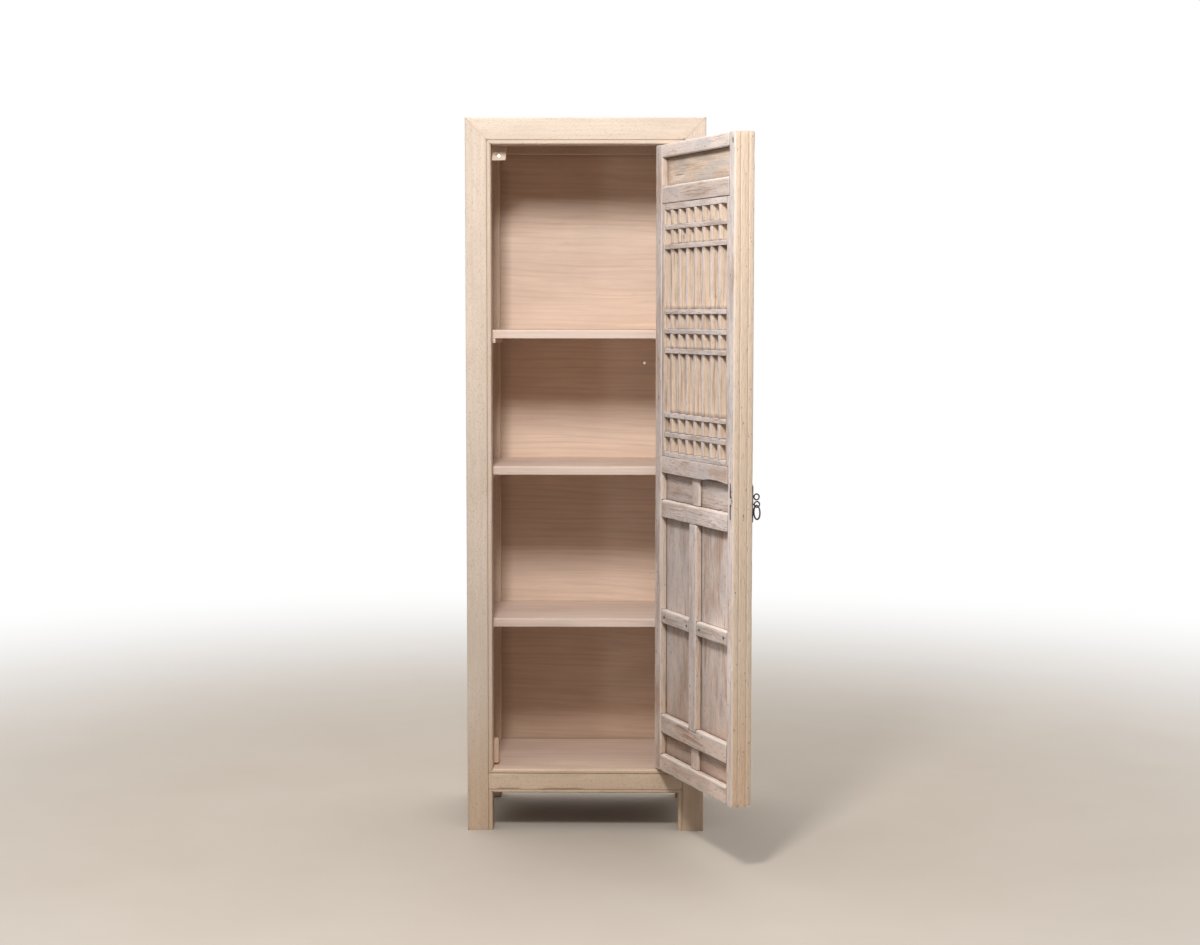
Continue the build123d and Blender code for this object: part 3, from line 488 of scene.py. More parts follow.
class TimberShader(Shader):
    """A timber finish's material under construction, from the bare wood outwards."""

    SEED_SHIFT = (3.1, 5.7, 11.3)  # how far a timber's seed moves its figure, in metres
    SWAY_SIZE = (4.0, 4.0, 1.6)  # sways of the fibres to a metre, the last one along them
    SWAY = (0.035, 0.035, 0.0)  # how far they sway
    RIPPLES = (("Scale", 34.0), ("Distortion", 7.0), ("Detail", 2.0), ("Detail Scale", 0.9))
    RIPPLE_STRETCH = (1.0, 1.0, 0.035)  # how much longer a growth line is than it is wide
    FLANK_SHARE = 0.94  # how much of the flank is clean
    DIRT_AND_SHADE_TONE = 0.3  # what a band's colour is multiplied by for the dark of soiling, of joints and of painted shade

    def __init__(self, name: str, look: TimberFinish, setting: Setting, grain: Grain) -> None:
        """Start the material with what its layers share.

        Args:
            name: name of the material.
            look: the finish.
            setting: axes that the timber is square to.
            grain: axis that the fibres run along.
        """
        super().__init__(name)
        self.look = look
        self.on_leaf = setting.name == "leaf"
        self.spot = self.swaying(setting, grain)
        self.fibre = self.noise(self.spot, FIBRE)
        self.pore = self.noise(self.spot, Layer(*look.fleck_size))
        self.blotch = self.noise(self.spot, BLOTCH)
        flecks = self.times(self.span(self.pore, 0.55, 0.68), look.fleck_depth)
        self.flecks = self.times(flecks, self.span(self.blotch, 0.3, 0.65, 0.35, 1.0))
        self.across, _, self.height = self.split(self.place(setting))
        self.clean: Value = 0.0
        if self.on_leaf:
            self.clean = self.span(self.split(self.facing(setting))[0], 0.35, 0.75)

    def build(self) -> bpy.types.Material:
        """The finished material."""
        colour, figure = self.grown()
        colour = self.weathered(colour)
        if self.on_leaf:
            colour = self.flanked(colour)
        colour = self.used(colour)
        height = self.math("SUBTRACT", self.fibre, self.times(self.span(self.pore, 0.52, 0.68), 0.5))
        roughness = self.span(figure, 0.2, 0.8, self.look.roughness - 0.08, self.look.roughness + 0.1)
        return self.finish(colour, roughness, height, self.look.relief, gloss=self.look.gloss)

    def swaying(self, setting: Setting, grain: Grain) -> Socket:
        """The point being shaded with the fibres along its third axis, swaying as they do.

        Args:
            setting: axes that the timber is square to.
            grain: axis that the fibres run along.

        Returns:
            The point, moved for each timber by its own amount.
        """
        parts = self.split(self.place(setting))
        along = parts.pop(grain.value)
        raw = self.join((parts[0], parts[1], along))
        spot = self.vector("ADD", raw, self.vector("SCALE", self.SEED_SHIFT, self.attribute("seed")))
        sway = self.node("TexNoise", noise_dimensions="3D")
        self.feed(sway.inputs["Vector"], self.vector("MULTIPLY", spot, self.SWAY_SIZE))
        sway.inputs["Scale"].default_value = 1.0
        drift = self.vector("SUBTRACT", sway.outputs["Color"], (0.5, 0.5, 0.5))
        return self.vector("ADD", spot, self.vector("MULTIPLY", drift, self.SWAY))

    def grown(self) -> tuple[Socket, Socket]:
        """The bare wood's colour with its growth bands and lines, and how dark the figure is."""
        look = self.look
        band = self.noise(self.spot, Layer(look.bands, look.bands * 0.02, 3.0))
        line = self.noise(self.spot, Layer(look.bands * 0.8, look.bands * 0.012, 1.0, 0.5))
        figure = self.math("ADD", self.times(band, 0.6), self.times(self.fibre, 0.4))
        banding = self.times(self.span(figure, 0.38, 0.64), look.band_depth)
        colour = self.mix(banding, look.pale, look.band)
        lines = self.times(self.contour(line, 0.035), look.line_depth)
        lines = self.times(lines, self.span(self.blotch, 0.35, 0.6, 0.3, 1.0))
        colour = self.mix(lines, colour, look.band)
        if look.ripple:
            colour = self.mix(self.rippled(), colour, look.band)
        return colour, figure

    def rippled(self) -> Socket:
        """How strongly close growth lines show, which run nearly straight along the grain."""
        wave = self.node("TexWave", wave_type="BANDS", bands_direction="DIAGONAL", wave_profile="SIN")
        self.feed(wave.inputs["Vector"], self.vector("MULTIPLY", self.spot, self.RIPPLE_STRETCH))
        for key, number in self.RIPPLES:
            wave.inputs[key].default_value = number
        broken = self.span(self.noise(self.spot, RIPPLE_GAPS), 0.35, 0.6, 0.35, 1.0)
        line = self.times(self.span(wave.outputs["Fac"], 0.45, 1.0), self.look.ripple)
        return self.times(line, broken)

    def washed(self) -> Socket:
        """How much of the wood old pigment hides, in patches that break up along the grain."""
        patch = self.times(self.noise(self.spot, WASH_COVER), 0.5)
        streak = self.times(self.noise(self.spot, WASH_STREAK), 0.5)
        low = 0.62 - 0.3 * self.look.wash_share
        return self.span(self.math("ADD", patch, streak), low, low + 0.14, 0.08, 0.9)

    def weathered(self, colour: Socket) -> Socket:
        """Pigment, pores and stains over the bare wood.

        Args:
            colour: the bare wood's colour.

        Returns:
            The weathered colour, a little different in each timber.
        """
        look = self.look
        if look.wash_share:
            greyed = self.span(self.noise(self.spot, GREYING), 0.45, 0.62, 0.0, 0.6)
            colour = self.mix(self.washed(), colour, self.mix(greyed, look.wash, look.chill))
        colour = self.mix(self.flecks, colour, look.fleck)
        stains = self.span(self.noise(self.spot, STAINING), 0.48, 0.7, 0.0, look.stain_depth)
        colour = self.mix(stains, colour, look.stain)
        colour = self.brighten(colour, self.span(self.blotch, 0.3, 0.7, 0.94, 1.05))
        return self.brighten(colour, self.span(self.attribute("seed"), 0.0, 1.0, 0.96, 1.03))

    def flanked(self, colour: Socket) -> Socket:
        """Painted light that lightens the leaf low down towards its free edge, and cleaner wood on
        faces towards its free edge.

        Args:
            colour: the weathered colour.

        Returns:
            The colour with its flank.
        """
        look = self.look
        streaks = self.span(self.noise(self.spot, FLANK_STREAK), 0.45, 0.7, 0.0, look.flank_streaks)
        bare = self.mix(streaks, look.flank, look.band)
        bare = self.mix(self.times(self.flecks, 0.5), bare, look.fleck)
        # Painted light: the lower half of the leaf is made lighter towards its free edge.
        lower = self.span(self.height, 0.5, 1.0, 1.0, 0.1)
        painted_light_share = self.times(self.span(self.across, 0.2, 0.44), lower)
        colour = self.brighten(colour, self.span(painted_light_share, 0.0, 1.0, 1.0, 1.0 + look.painted_free_side_light))
        return self.mix(self.times(self.clean, self.FLANK_SHARE), colour, bare)

    def used(self, colour: Socket) -> Socket:
        """Colour darker near the floor, knocks, arrises marked by use with a painted highlight where
        they are paler, soiling and painted shade in quirks, corners and panel borders, and dark joints.

        Args:
            colour: colour before use.

        Returns:
            Colour after use.
        """
        look = self.look
        # Darker towards the floor.
        if look.foot:
            uneven = self.math("ADD", self.height, self.times(self.blotch, 0.15))
            near = self.span(uneven, 0.08, 0.5, 1.0, 0.0)
            colour = self.mix(near, colour, self.mix(1.0, colour, look.foot, "MULTIPLY"))
        if look.specks:
            knocks = self.span(self.noise(self.spot, KNOCKS), 0.70, 0.76, 0.0, look.specks)
            colour = self.mix(knocks, colour, look.fleck)
        patchy = self.noise(self.spot, PATCHES)
        seam = self.attribute("seam")
        # Arris colour: wear, and a painted highlight where the arris colour is paler than the wood.
        rubbed_and_highlit = self.times(self.span(patchy, 0.25, 0.6, 0.3, 1.0), self.attribute("rub"))
        rubbed_and_highlit = self.times(rubbed_and_highlit, look.wear, clamp=True)
        rubbed_and_highlit = self.times(rubbed_and_highlit, self.rest(self.times(self.clean, 0.6)))
        colour = self.mix(self.times(rubbed_and_highlit, self.rest(seam, clamp=True)), colour, look.worn_and_highlight)
        # One dark tone for the soiling and painted shade in quirks, corners and panel borders, and for
        # the dark joints.
        dirt_and_shade_tone = tuple(self.DIRT_AND_SHADE_TONE * part for part in look.band)
        nook = self.times(self.attribute("nook"), look.grime_and_shade, clamp=True)
        colour = self.mix(self.times(nook, self.rest(self.times(self.clean, 0.8))), colour, dirt_and_shade_tone)
        joint = self.times(self.span(patchy, 0.2, 0.55, 0.5, 1.0), seam)
        return self.mix(self.times(joint, look.seam, clamp=True), colour, dirt_and_shade_tone)


@dataclass(frozen=True)
class MetalFinish:
    """How a metal looks.

    Attributes:
        name: name of the finish and of its material.
        base: colour of the metal's skin.
        rust: colour of its stains.
        bright: colour where use has polished it.
        stain_share: how much of it is stained.
        metallic: 1 for bare metal.
        roughness: mean roughness.
        relief: depth of its hammer marks and pits, in metres.
        grain: features to a metre.
    """

    name: str
    base: Colour
    rust: Colour
    bright: Colour
    stain_share: float
    metallic: float
    roughness: float
    relief: float
    grain: float = 300.0

    def material(self) -> bpy.types.Material:
        """The finish as a material, made once."""
        if self.name in bpy.data.materials:
            return bpy.data.materials[self.name]
        shader = Shader(self.name)
        place = shader.node("TexCoord").outputs["Object"]
        pits = shader.noise(place, Layer(self.grain, self.grain, 4.0, 0.65))
        clouds = shader.noise(place, Layer(self.grain * 0.25, self.grain * 0.25, 3.0))
        stain = shader.span(clouds, 0.7 - 0.5 * self.stain_share, 0.85 - 0.4 * self.stain_share)
        colour = shader.mix(stain, self.base, self.rust)
        rub = shader.times(shader.attribute("rub"), shader.span(pits, 0.3, 0.6), clamp=True)
        colour = shader.mix(rub, colour, self.bright)
        roughness = shader.span(pits, 0.3, 0.7, self.roughness - 0.12, self.roughness + 0.15)
        return shader.finish(colour, roughness, pits, self.relief, self.metallic)


NEW_WOOD = TimberFinish(
    "new_wood", pale=(0.85, 0.695, 0.565), band=(0.62, 0.485, 0.375), fleck=(0.34, 0.285, 0.24),
    worn_and_highlight=(0.72, 0.52, 0.36), stain=(0.60, 0.45, 0.32), foot=(0.92, 0.81, 0.69), bands=95.0,
    band_depth=0.3, line_depth=0.15, fleck_depth=0.62, fleck_size=(900.0, 150.0), stain_depth=0.25,
    grime_and_shade=0.4, seam=0.16, relief=0.00025,
)
SHELF_WOOD = TimberFinish(
    "shelf_wood", pale=(0.88, 0.70, 0.59), band=(0.62, 0.45, 0.36), fleck=(0.46, 0.34, 0.28),
    worn_and_highlight=(0.90, 0.74, 0.63), stain=(0.60, 0.45, 0.37), foot=(0.90, 0.85, 0.80), bands=140.0,
    band_depth=0.3, ripple=0.24, fleck_depth=0.15, wear=0.4, grime_and_shade=0.4, seam=0.4, roughness=0.5,
    relief=0.00012,
)
BACK_WOOD = TimberFinish(
    "back_wood", pale=(0.91, 0.715, 0.575), band=(0.62, 0.45, 0.335), fleck=(0.48, 0.35, 0.27),
    worn_and_highlight=(0.78, 0.60, 0.47), stain=(0.70, 0.51, 0.39), foot=(0.82, 0.76, 0.68), bands=150.0,
    band_depth=0.2, ripple=0.26, fleck_depth=0.1, wear=0.2, seam=0.5, roughness=0.52,
    relief=0.00012,
)
OLD_DOOR_WOOD = TimberFinish(
    "old_door_wood", pale=(0.60, 0.42, 0.31), band=(0.34, 0.205, 0.14), fleck=(0.17, 0.12, 0.10),
    worn_and_highlight=(0.92, 0.82, 0.75), stain=(0.54, 0.35, 0.25), wash=(0.89, 0.775, 0.725),
    flank=(0.99, 0.75, 0.54), foot=(0.96, 0.87, 0.78), band_depth=0.7, line_depth=0.4,
    fleck_depth=0.55, fleck_size=(600.0, 45.0), wash_share=0.85, flank_streaks=0.14,
    stain_depth=0.7, wear=0.85, grime_and_shade=0.8, specks=0.6, painted_free_side_light=0.3, seam=0.8, roughness=0.78,
    gloss=0.2, relief=0.0006,
)
INNER_DOOR_WOOD = replace(
    OLD_DOOR_WOOD, label="inner_door_wood", flank=(0.78, 0.61, 0.49), flank_streaks=0.6,
)
FRIEZE_RAIL_WOOD = replace(
    INNER_DOOR_WOOD, label="frieze_rail_wood", pale=(0.60, 0.41, 0.31), wash=(0.84, 0.70, 0.635),
    wash_share=0.72,
)
TOP_RAIL_WOOD = replace(
    INNER_DOOR_WOOD, label="top_rail_wood", pale=(0.72, 0.53, 0.42), wash=(0.97, 0.835, 0.76),
)
LATTICE_WOOD = replace(
    OLD_DOOR_WOOD, label="lattice_wood", flank=(0.88, 0.69, 0.52), flank_streaks=0.75, grime_and_shade=0.3,
    specks=0.3, painted_free_side_light=0.0, seam=0.6,
)
OLD_PANEL_WOOD = TimberFinish(
    "old_panel_wood", pale=(0.60, 0.43, 0.33), band=(0.36, 0.225, 0.155), fleck=(0.18, 0.12, 0.09),
    worn_and_highlight=(0.74, 0.60, 0.50), stain=(0.48, 0.31, 0.22), wash=(0.80, 0.69, 0.63),
    flank=(0.62, 0.48, 0.36), foot=(0.80, 0.68, 0.58), bands=70.0, band_depth=0.7, line_depth=0.45,
    fleck_depth=0.45, fleck_size=(600.0, 45.0), wash_share=0.85, stain_depth=0.6, wear=0.3,
    grime_and_shade=0.7, specks=0.4, painted_free_side_light=0.42, seam=0.8, roughness=0.8, gloss=0.2, relief=0.0007,
)
FRIEZE_PANEL_WOOD = replace(
    OLD_PANEL_WOOD, label="frieze_panel_wood", pale=(0.74, 0.56, 0.42), band=(0.50, 0.34, 0.235),
    wash=(0.90, 0.735, 0.60), wash_share=0.75,
)
BATTEN_WOOD = TimberFinish(
    "batten_wood", pale=(0.62, 0.47, 0.37), band=(0.38, 0.265, 0.20), fleck=(0.18, 0.135, 0.11),
    worn_and_highlight=(0.88, 0.77, 0.68), stain=(0.42, 0.29, 0.21), wash=(0.79, 0.70, 0.65),
    flank=(0.62, 0.48, 0.36), band_depth=0.75, line_depth=0.5, fleck_depth=0.6,
    fleck_size=(600.0, 45.0), wash_share=0.75, stain_depth=0.6, wear=0.85, grime_and_shade=0.6, specks=0.6,
    painted_free_side_light=0.25, seam=0.8, roughness=0.78, gloss=0.2, relief=0.0006,
)
OLD_IRON = MetalFinish(
    "old_iron", base=(0.018, 0.015, 0.013), rust=(0.06, 0.034, 0.022), bright=(0.30, 0.26, 0.23),
    stain_share=0.35, metallic=0.08, roughness=0.46, relief=0.0002, grain=420.0,
)
NAIL_IRON = MetalFinish(
    "nail_iron", base=(0.10, 0.075, 0.062), rust=(0.16, 0.08, 0.045), bright=(0.25, 0.21, 0.18),
    stain_share=0.5, metallic=0.4, roughness=0.6, relief=0.0002, grain=600.0,
)
PLAIN_STEEL = MetalFinish(
    "plain_steel", base=(0.72, 0.71, 0.68), rust=(0.55, 0.52, 0.47), bright=(0.85, 0.84, 0.82),
    stain_share=0.15, metallic=0.25, roughness=0.4, relief=0.00004, grain=900.0,
)
BRIGHT_STEEL = replace(
    PLAIN_STEEL, name="bright_steel", base=(0.92, 0.90, 0.87), metallic=1.0, roughness=0.3,
)


# ---------------------------------------------------------------- meshes
def settle(made: bmesh.types.BMesh, name: str) -> bpy.types.Mesh:
    """A finished mesh from one under construction.

    Args:
        made: mesh under construction, which is freed.
        name: name of the mesh.

    Returns:
        The mesh.
    """
    mesh = bpy.data.meshes.new(name)
    made.to_mesh(mesh)
    made.free()
    return mesh


def merge(whole: bmesh.types.BMesh, part: bmesh.types.BMesh) -> None:
    """Add one mesh under construction to another, and free it."""
    mesh = settle(part, "part")
    whole.from_mesh(mesh)
    bpy.data.meshes.remove(mesh)


def add_object(name: str, data: bpy.types.ID) -> bpy.types.Object:
    """A new object in the scene."""
    made = bpy.data.objects.new(name, data)
    bpy.context.scene.collection.objects.link(made)
    return made


def present(mesh: bpy.types.Mesh, values: dict[str, Sequence[float]], sharp: float,
            material: bpy.types.Material) -> bpy.types.Object:
    """Put a finished mesh in the scene.

    Args:
        mesh: the mesh, whose name the object takes.
        values: numbers for each point, by the name that its finish knows them by.
        sharp: angle from which an edge stays sharp, in radians.
        material: its material.

    Returns:
        The piece.
    """
    for name, numbers in values.items():
        mesh.attributes.new(name, "FLOAT", "POINT").data.foreach_set("value", numbers)
    mesh.polygons.foreach_set("use_smooth", [True] * len(mesh.polygons))
    mesh.set_sharp_from_angle(angle=sharp)
    mesh.materials.append(material)
    LOG.info("%s: %d faces", mesh.name, len(mesh.polygons))
    return add_object(mesh.name, mesh)


def packed_mesh(node: str) -> bpy.types.Mesh:
    """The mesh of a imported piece."""
    return FRAME["nodes"][node].data


SURFACES: dict[str, BVHTree] = {}
BOXES: dict[tuple[str, str], tuple[np.ndarray, np.ndarray]] = {}


def surface(node: str) -> BVHTree:
    """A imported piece's surface, for finding what is near it.

    Args:
        node: name of the piece.

    Returns:
        Its surface, made once.
    """
    if node not in SURFACES:
        mesh = packed_mesh(node)
        points = [vert.co for vert in mesh.vertices]
        SURFACES[node] = BVHTree.FromPolygons(points, [face.vertices for face in mesh.polygons])
    return SURFACES[node]


def setting_box(node: str, setting: Setting) -> tuple[np.ndarray, np.ndarray]:
    """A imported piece's lowest and highest corner along a setting's axes.

    Args:
        node: name of the piece.
        setting: the axes.

    Returns:
        Both corners, found once.
    """
    key = (node, setting.name)
    if key not in BOXES:
        turn = setting.to_model().inverted()
        points = np.array([turn @ vert.co for vert in packed_mesh(node).vertices])
        BOXES[key] = (points.min(0), points.max(0))
    return BOXES[key]


# ---------------------------------------------------------------- timbers
@dataclass(frozen=True)
class Ageing:
    """How far a timber has left its first shape, in millimetres.

    Attributes:
        warp: slow wander of the whole piece.
        hollow: shallow unevenness of its faces.
        rounding: what use takes off its arrises everywhere.
        corner: what use takes off its corners besides.
        nicks: depth of the knocks in its arrises.
        reach: how far from an arris the wear goes.
    """

    warp: float
    hollow: float
    rounding: float
    corner: float
    nicks: float
    reach: float


NEW = Ageing(warp=0.05, hollow=0.03, rounding=0.15, corner=0.4, nicks=0.25, reach=1.6)
OLD = Ageing(warp=0.35, hollow=0.22, rounding=0.5, corner=2.0, nicks=1.6, reach=3.0)
OLD_BARS = Ageing(warp=0.3, hollow=0.15, rounding=0.4, corner=0.5, nicks=1.0, reach=1.6)


@dataclass(frozen=True)
class Split:
    """A crack along the grain in a timber's inner face.

    Attributes:
        node: the timber.
        along: where it starts and ends along the grain, in millimetres.
        across: where it lies across the grain.
        width: how wide it gapes.
        depth: how deep it goes.
    """

    node: str
    along: tuple[float, float]
    across: float
    width: float
    depth: float


@dataclass
class Timber:
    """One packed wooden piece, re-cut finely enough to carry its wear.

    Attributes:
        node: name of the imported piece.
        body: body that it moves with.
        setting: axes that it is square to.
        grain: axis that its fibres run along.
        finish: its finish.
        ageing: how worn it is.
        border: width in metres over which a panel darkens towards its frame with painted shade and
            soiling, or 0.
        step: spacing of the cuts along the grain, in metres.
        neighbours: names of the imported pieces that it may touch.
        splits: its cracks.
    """

    node: str
    body: str
    setting: Setting
    grain: Grain
    finish: TimberFinish
    ageing: Ageing
    border: float = 0.0
    step: float = 0.02
    neighbours: Sequence[str] = ()
    splits: Sequence[Split] = ()

    # Lengths in metres.
    WELD = 2e-6  # points nearer than this are one
    TOUCH = 0.001  # pieces nearer than this touch
    SIDE_STEP = 0.016  # spacing of the cuts across the grain
    EDGE_CUTS = (0.0015, 0.004, 0.009)  # from a solid's ends to the cuts beside them
    SEAM_CUT = 0.0014  # from a joint to the cuts beside it
    QUIRK_CUT = 0.003  # from an inward corner to the cuts beside it
    LEAST_CUT = 0.0005  # cuts are no nearer than this
    ON_PLANE = 1e-6  # points nearer than this to a cut are on it
    LEAST_MITRE = 1e-4  # area of the smallest face that counts as a mitre
    DIRT_AND_SHADE_REACH = 0.0016  # how far soiling and painted shade reach from an inward corner
    SEAM_REACH = 0.0008  # how far it reaches from a joint
    TONGUE = 0.006  # how much of a panel its frame hides

    # Angles from which faces are two, an edge is a corner, and an edge stays sharp.
    FLAT = math.radians(0.5)
    CREASE = math.radians(8.0)
    SHARP = math.radians(28.0)

    # Features to a metre of the warp, across the grain and along it, the hollows and the knocks.
    WARP_SIZE = (14.0, 2.5)
    HOLLOW_SIZE = 70.0
    KNOCK_SIZE = 38.0

    KNOCK_FLOOR = 0.12  # how much of the knocks is left out, as too slight
    BORDER_SHADE = 0.8  # how dark the painted shade and soiling of a panel are at its frame
    SEED_STEPS = (0.317, 0.618)  # from piece to piece, and from solid to solid
    SEED_SHIFT = (40.0, 17.0, 29.0)  # how far a seed moves the wear
    CRACK_CUTS = 8  # parts that the cuts make of a crack

    def solids(self) -> list[bmesh.types.BMesh]:
        """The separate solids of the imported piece.

        Returns:
            Welded meshes along the setting's axes.
        """
        whole = bmesh.new()
        whole.from_mesh(packed_mesh(self.node))
        bmesh.ops.remove_doubles(whole, verts=whole.verts, dist=self.WELD)
        bmesh.ops.transform(whole, matrix=self.setting.to_model().inverted(), verts=whole.verts)
        bmesh.ops.dissolve_limit(whole, angle_limit=self.FLAT, verts=whole.verts, edges=whole.edges)
        whole.verts.index_update()
        whole.verts.ensure_lookup_table()
        unseen = set(range(len(whole.verts)))
        made = []
        while unseen:
            group = {min(unseen)}
            front = list(group)
            while front:
                vert = whole.verts[front.pop()]
                fresh = {edge.other_vert(vert).index for edge in vert.link_edges} - group
                group |= fresh
                front.extend(fresh)
            unseen -= group
            solid = whole.copy()
            other = [vert for vert in solid.verts if vert.index not in group]
            bmesh.ops.delete(solid, geom=other, context="VERTS")
            made.append(solid)
        whole.free()
        return made

    def creases(self, solid: bmesh.types.BMesh) -> tuple[np.ndarray, np.ndarray]:
        """The corners of a solid.

        Args:
            solid: the solid, along the setting's axes.

        Returns:
            Outward and inward corners, as pairs of ends.
        """
        out, inward = [], []
        for edge in solid.edges:
            if len(edge.link_faces) != 2:
                continue
            angle = edge.calc_face_angle_signed(0.0)
            if abs(angle) > self.CREASE:
                ends = [vert.co[:] for vert in edge.verts]
                (out if angle > 0 else inward).append(ends)
        return np.array(out).reshape(-1, 2, 3), np.array(inward).reshape(-1, 2, 3)

    def touching(self) -> list[tuple[np.ndarray, BVHTree]]:
        """The pieces that this one touches.

        Returns:
            For each one its box, along the setting's axes, and its surface.
        """
        own_low, own_high = setting_box(self.node, self.setting)
        found = []
        for name in self.neighbours:
            low, high = setting_box(name, self.setting)
            near = np.all(low < own_high + self.TOUCH) and np.all(high > own_low - self.TOUCH)
            if name != self.node and near:
                found.append((np.array([low, high]), surface(name)))
        return found

    def bisect(self, solid: bmesh.types.BMesh, where: Vector, normal: Vector) -> None:
        """Add the loop where a plane crosses a solid."""
        geometry = solid.verts[:] + solid.edges[:] + solid.faces[:]
        bmesh.ops.bisect_plane(solid, geom=geometry, dist=self.ON_PLANE, plane_co=where,
                               plane_no=normal)

    def mitres(self, solid: bmesh.types.BMesh) -> list[tuple[Vector, Vector]]:
        """Planes just behind a solid's mitred ends.

        Args:
            solid: the solid, along the setting's axes.

        Returns:
            A point and a normal for each plane.
        """
        found = []
        for face in solid.faces:
            slanted = 0.5 < abs(face.normal.x) < 0.9 and abs(face.normal.y) < 0.1
            if slanted and face.calc_area() > self.LEAST_MITRE:
                behind = face.calc_center_median() - face.normal * self.SEAM_CUT
                found.append((behind, face.normal.copy()))
        return found

    def cut(self, solid: bmesh.types.BMesh, boxes: Sequence[np.ndarray], quirks: np.ndarray) -> None:
        """Add loops across a solid, close together beside its arrises, its joints and its cracks.

        Args:
            solid: the solid, along the setting's axes.
            boxes: the boxes of the pieces that it touches.
            quirks: its inward corners, as segments.
        """
        for where, normal in self.mitres(solid):
            self.bisect(solid, where, normal)
        points = np.array([vert.co for vert in solid.verts])
        low, high = points.min(0), points.max(0)
        for axis in sorted(range(3), key=lambda axis: low[axis] - high[axis]):
            normal = Vector([float(other == axis) for other in range(3)])
            last = low[axis]
            for spot in sorted(self.cuts(axis, low[axis], high[axis], boxes, quirks)):
                if spot - last > self.LEAST_CUT and spot < high[axis] - self.LEAST_CUT:
                    self.bisect(solid, normal * spot, normal)
                    last = spot

    def cuts(self, axis: int, low: float, high: float, boxes: Sequence[np.ndarray],
             quirks: np.ndarray) -> list[float]:
        """Where loops may lie along an axis.

        Args:
            axis: the axis.
            low: where the solid starts on it.
            high: where the solid ends on it.
            boxes: the boxes of the pieces that the solid touches.
            quirks: the solid's inward corners, as segments.

        Returns:
            The places, in no order.
        """
        size = high - low
        step = self.step if axis == self.grain.value else self.SIDE_STEP
        count = max(1, round(size / step))
        spots = [low + size * part / count for part in range(1, count)]
        for edge_cut in self.EDGE_CUTS:
            if edge_cut < size / 2:
                spots += [low + edge_cut, high - edge_cut]
        for box in boxes:
            for end in box[:, axis]:
                spots += [end - self.SEAM_CUT, end, end + self.SEAM_CUT]
        for split in self.splits:
            spots += self.split_cuts(split, axis)
        for start, end in quirks if self.ageing.reach > OLD_BARS.reach else ():
            if abs(start[axis] - end[axis]) < self.ON_PLANE * 10:
                spots += [start[axis] - self.QUIRK_CUT, start[axis] + self.QUIRK_CUT]
        return spots

    def split_cuts(self, split: Split, axis: int) -> list[float]:
        """Where the loops of one crack lie along an axis.

        Args:
            split: the crack.
            axis: the axis.

        Returns:
            The places, none for the axis that the crack sinks along.
        """
        if axis == self.grain.value:
            start, end = split.along
            run = (end - start) / self.CRACK_CUTS
            return [(start + run * part) * MM for part in range(self.CRACK_CUTS + 1)]
        if axis == Grain.DEEP.value:
            return []
        return [(split.across + part * split.width) * MM for part in (-0.5, 0.0, 0.5)]

    @staticmethod
    def nearness(points: np.ndarray, segments: np.ndarray,
                 reach: float) -> tuple[np.ndarray, np.ndarray]:
        """How near points are to segments, from 1 on one to 0 far away.

        Args:
            points: points, one to a row.
            segments: pairs of ends.
            reach: distance at which the value falls to a third.

        Returns:
            For each point, the value for the nearest segment, and for the nearest that runs
            in another direction.
        """
        nearest = np.full((3, len(points)), 1.0)
        for start, end in segments:
            run = end - start
            length = max(float(run @ run), 1e-12)
            share = np.clip((points - start) @ run / length, 0.0, 1.0)
            gap = np.linalg.norm(points - start - share[:, None] * run, axis=1)
            way = int(np.argmax(np.abs(run)))
            nearest[way] = np.minimum(nearest[way], gap)
        ranked = np.sort(nearest, axis=0)
        return np.exp(-ranked[0] / reach), np.exp(-ranked[1] / reach)

    def wear(self, solid: bmesh.types.BMesh, rub: np.ndarray, corner: np.ndarray, seed: float) -> None:
        """Move a solid's points to where use and time have left them, inside its own box.

        Args:
            solid: the solid, along the setting's axes.
            rub: how near each point is to an arris, the mask that also carries the arris colour and its
                painted highlight.
            corner: how near it is to a second arris, of another direction.
            seed: the piece's own number, from 0 to 1.
        """
        age = self.ageing
        wide, long = self.WARP_SIZE
        stretch = [long if axis == self.grain.value else wide for axis in range(3)]
        away = Vector([seed * part for part in self.SEED_SHIFT])
        points = np.array([vert.co for vert in solid.verts])
        low, high = points.min(0), points.max(0)
        solid.normal_update()
        moves = []
        for vert, near, second in zip(solid.verts, rub, corner):
            spot = vert.co
            slow = Vector([spot[axis] * stretch[axis] for axis in range(3)]) + away
            move = noise.noise_vector(slow) * age.warp * MM
            move += vert.normal * noise.noise(spot * self.HOLLOW_SIZE + away) * age.hollow * MM
            knock = max(0.0, noise.noise(spot * self.KNOCK_SIZE - away) - self.KNOCK_FLOOR) * age.nicks
            loss = float(near) ** 1.5 * (age.rounding + knock) + float(second) ** 2 * age.corner
            move -= vert.normal * loss * MM
            moves.append(move)
        for vert, move in zip(solid.verts, moves):
            vert.co = np.clip(vert.co + move, low, high)

    def crack(self, solid: bmesh.types.BMesh) -> None:
        """Sink the middle loop of each crack into the inner face.

        Args:
            solid: the solid, along the setting's axes, with its cuts.
        """
        for split in self.splits:
            start, end = split.along
            for vert in solid.verts:
                along = vert.co[self.grain.value] / MM
                sideways = vert.co[2 if self.grain is Grain.ACROSS else 0] / MM
                if not start < along < end or abs(sideways - split.across) > 0.1 * split.width:
                    continue
                if vert.normal.y < -0.5:
                    gape = math.sin(math.pi * (along - start) / (end - start)) ** 0.5
                    vert.co.y += split.depth * gape * MM

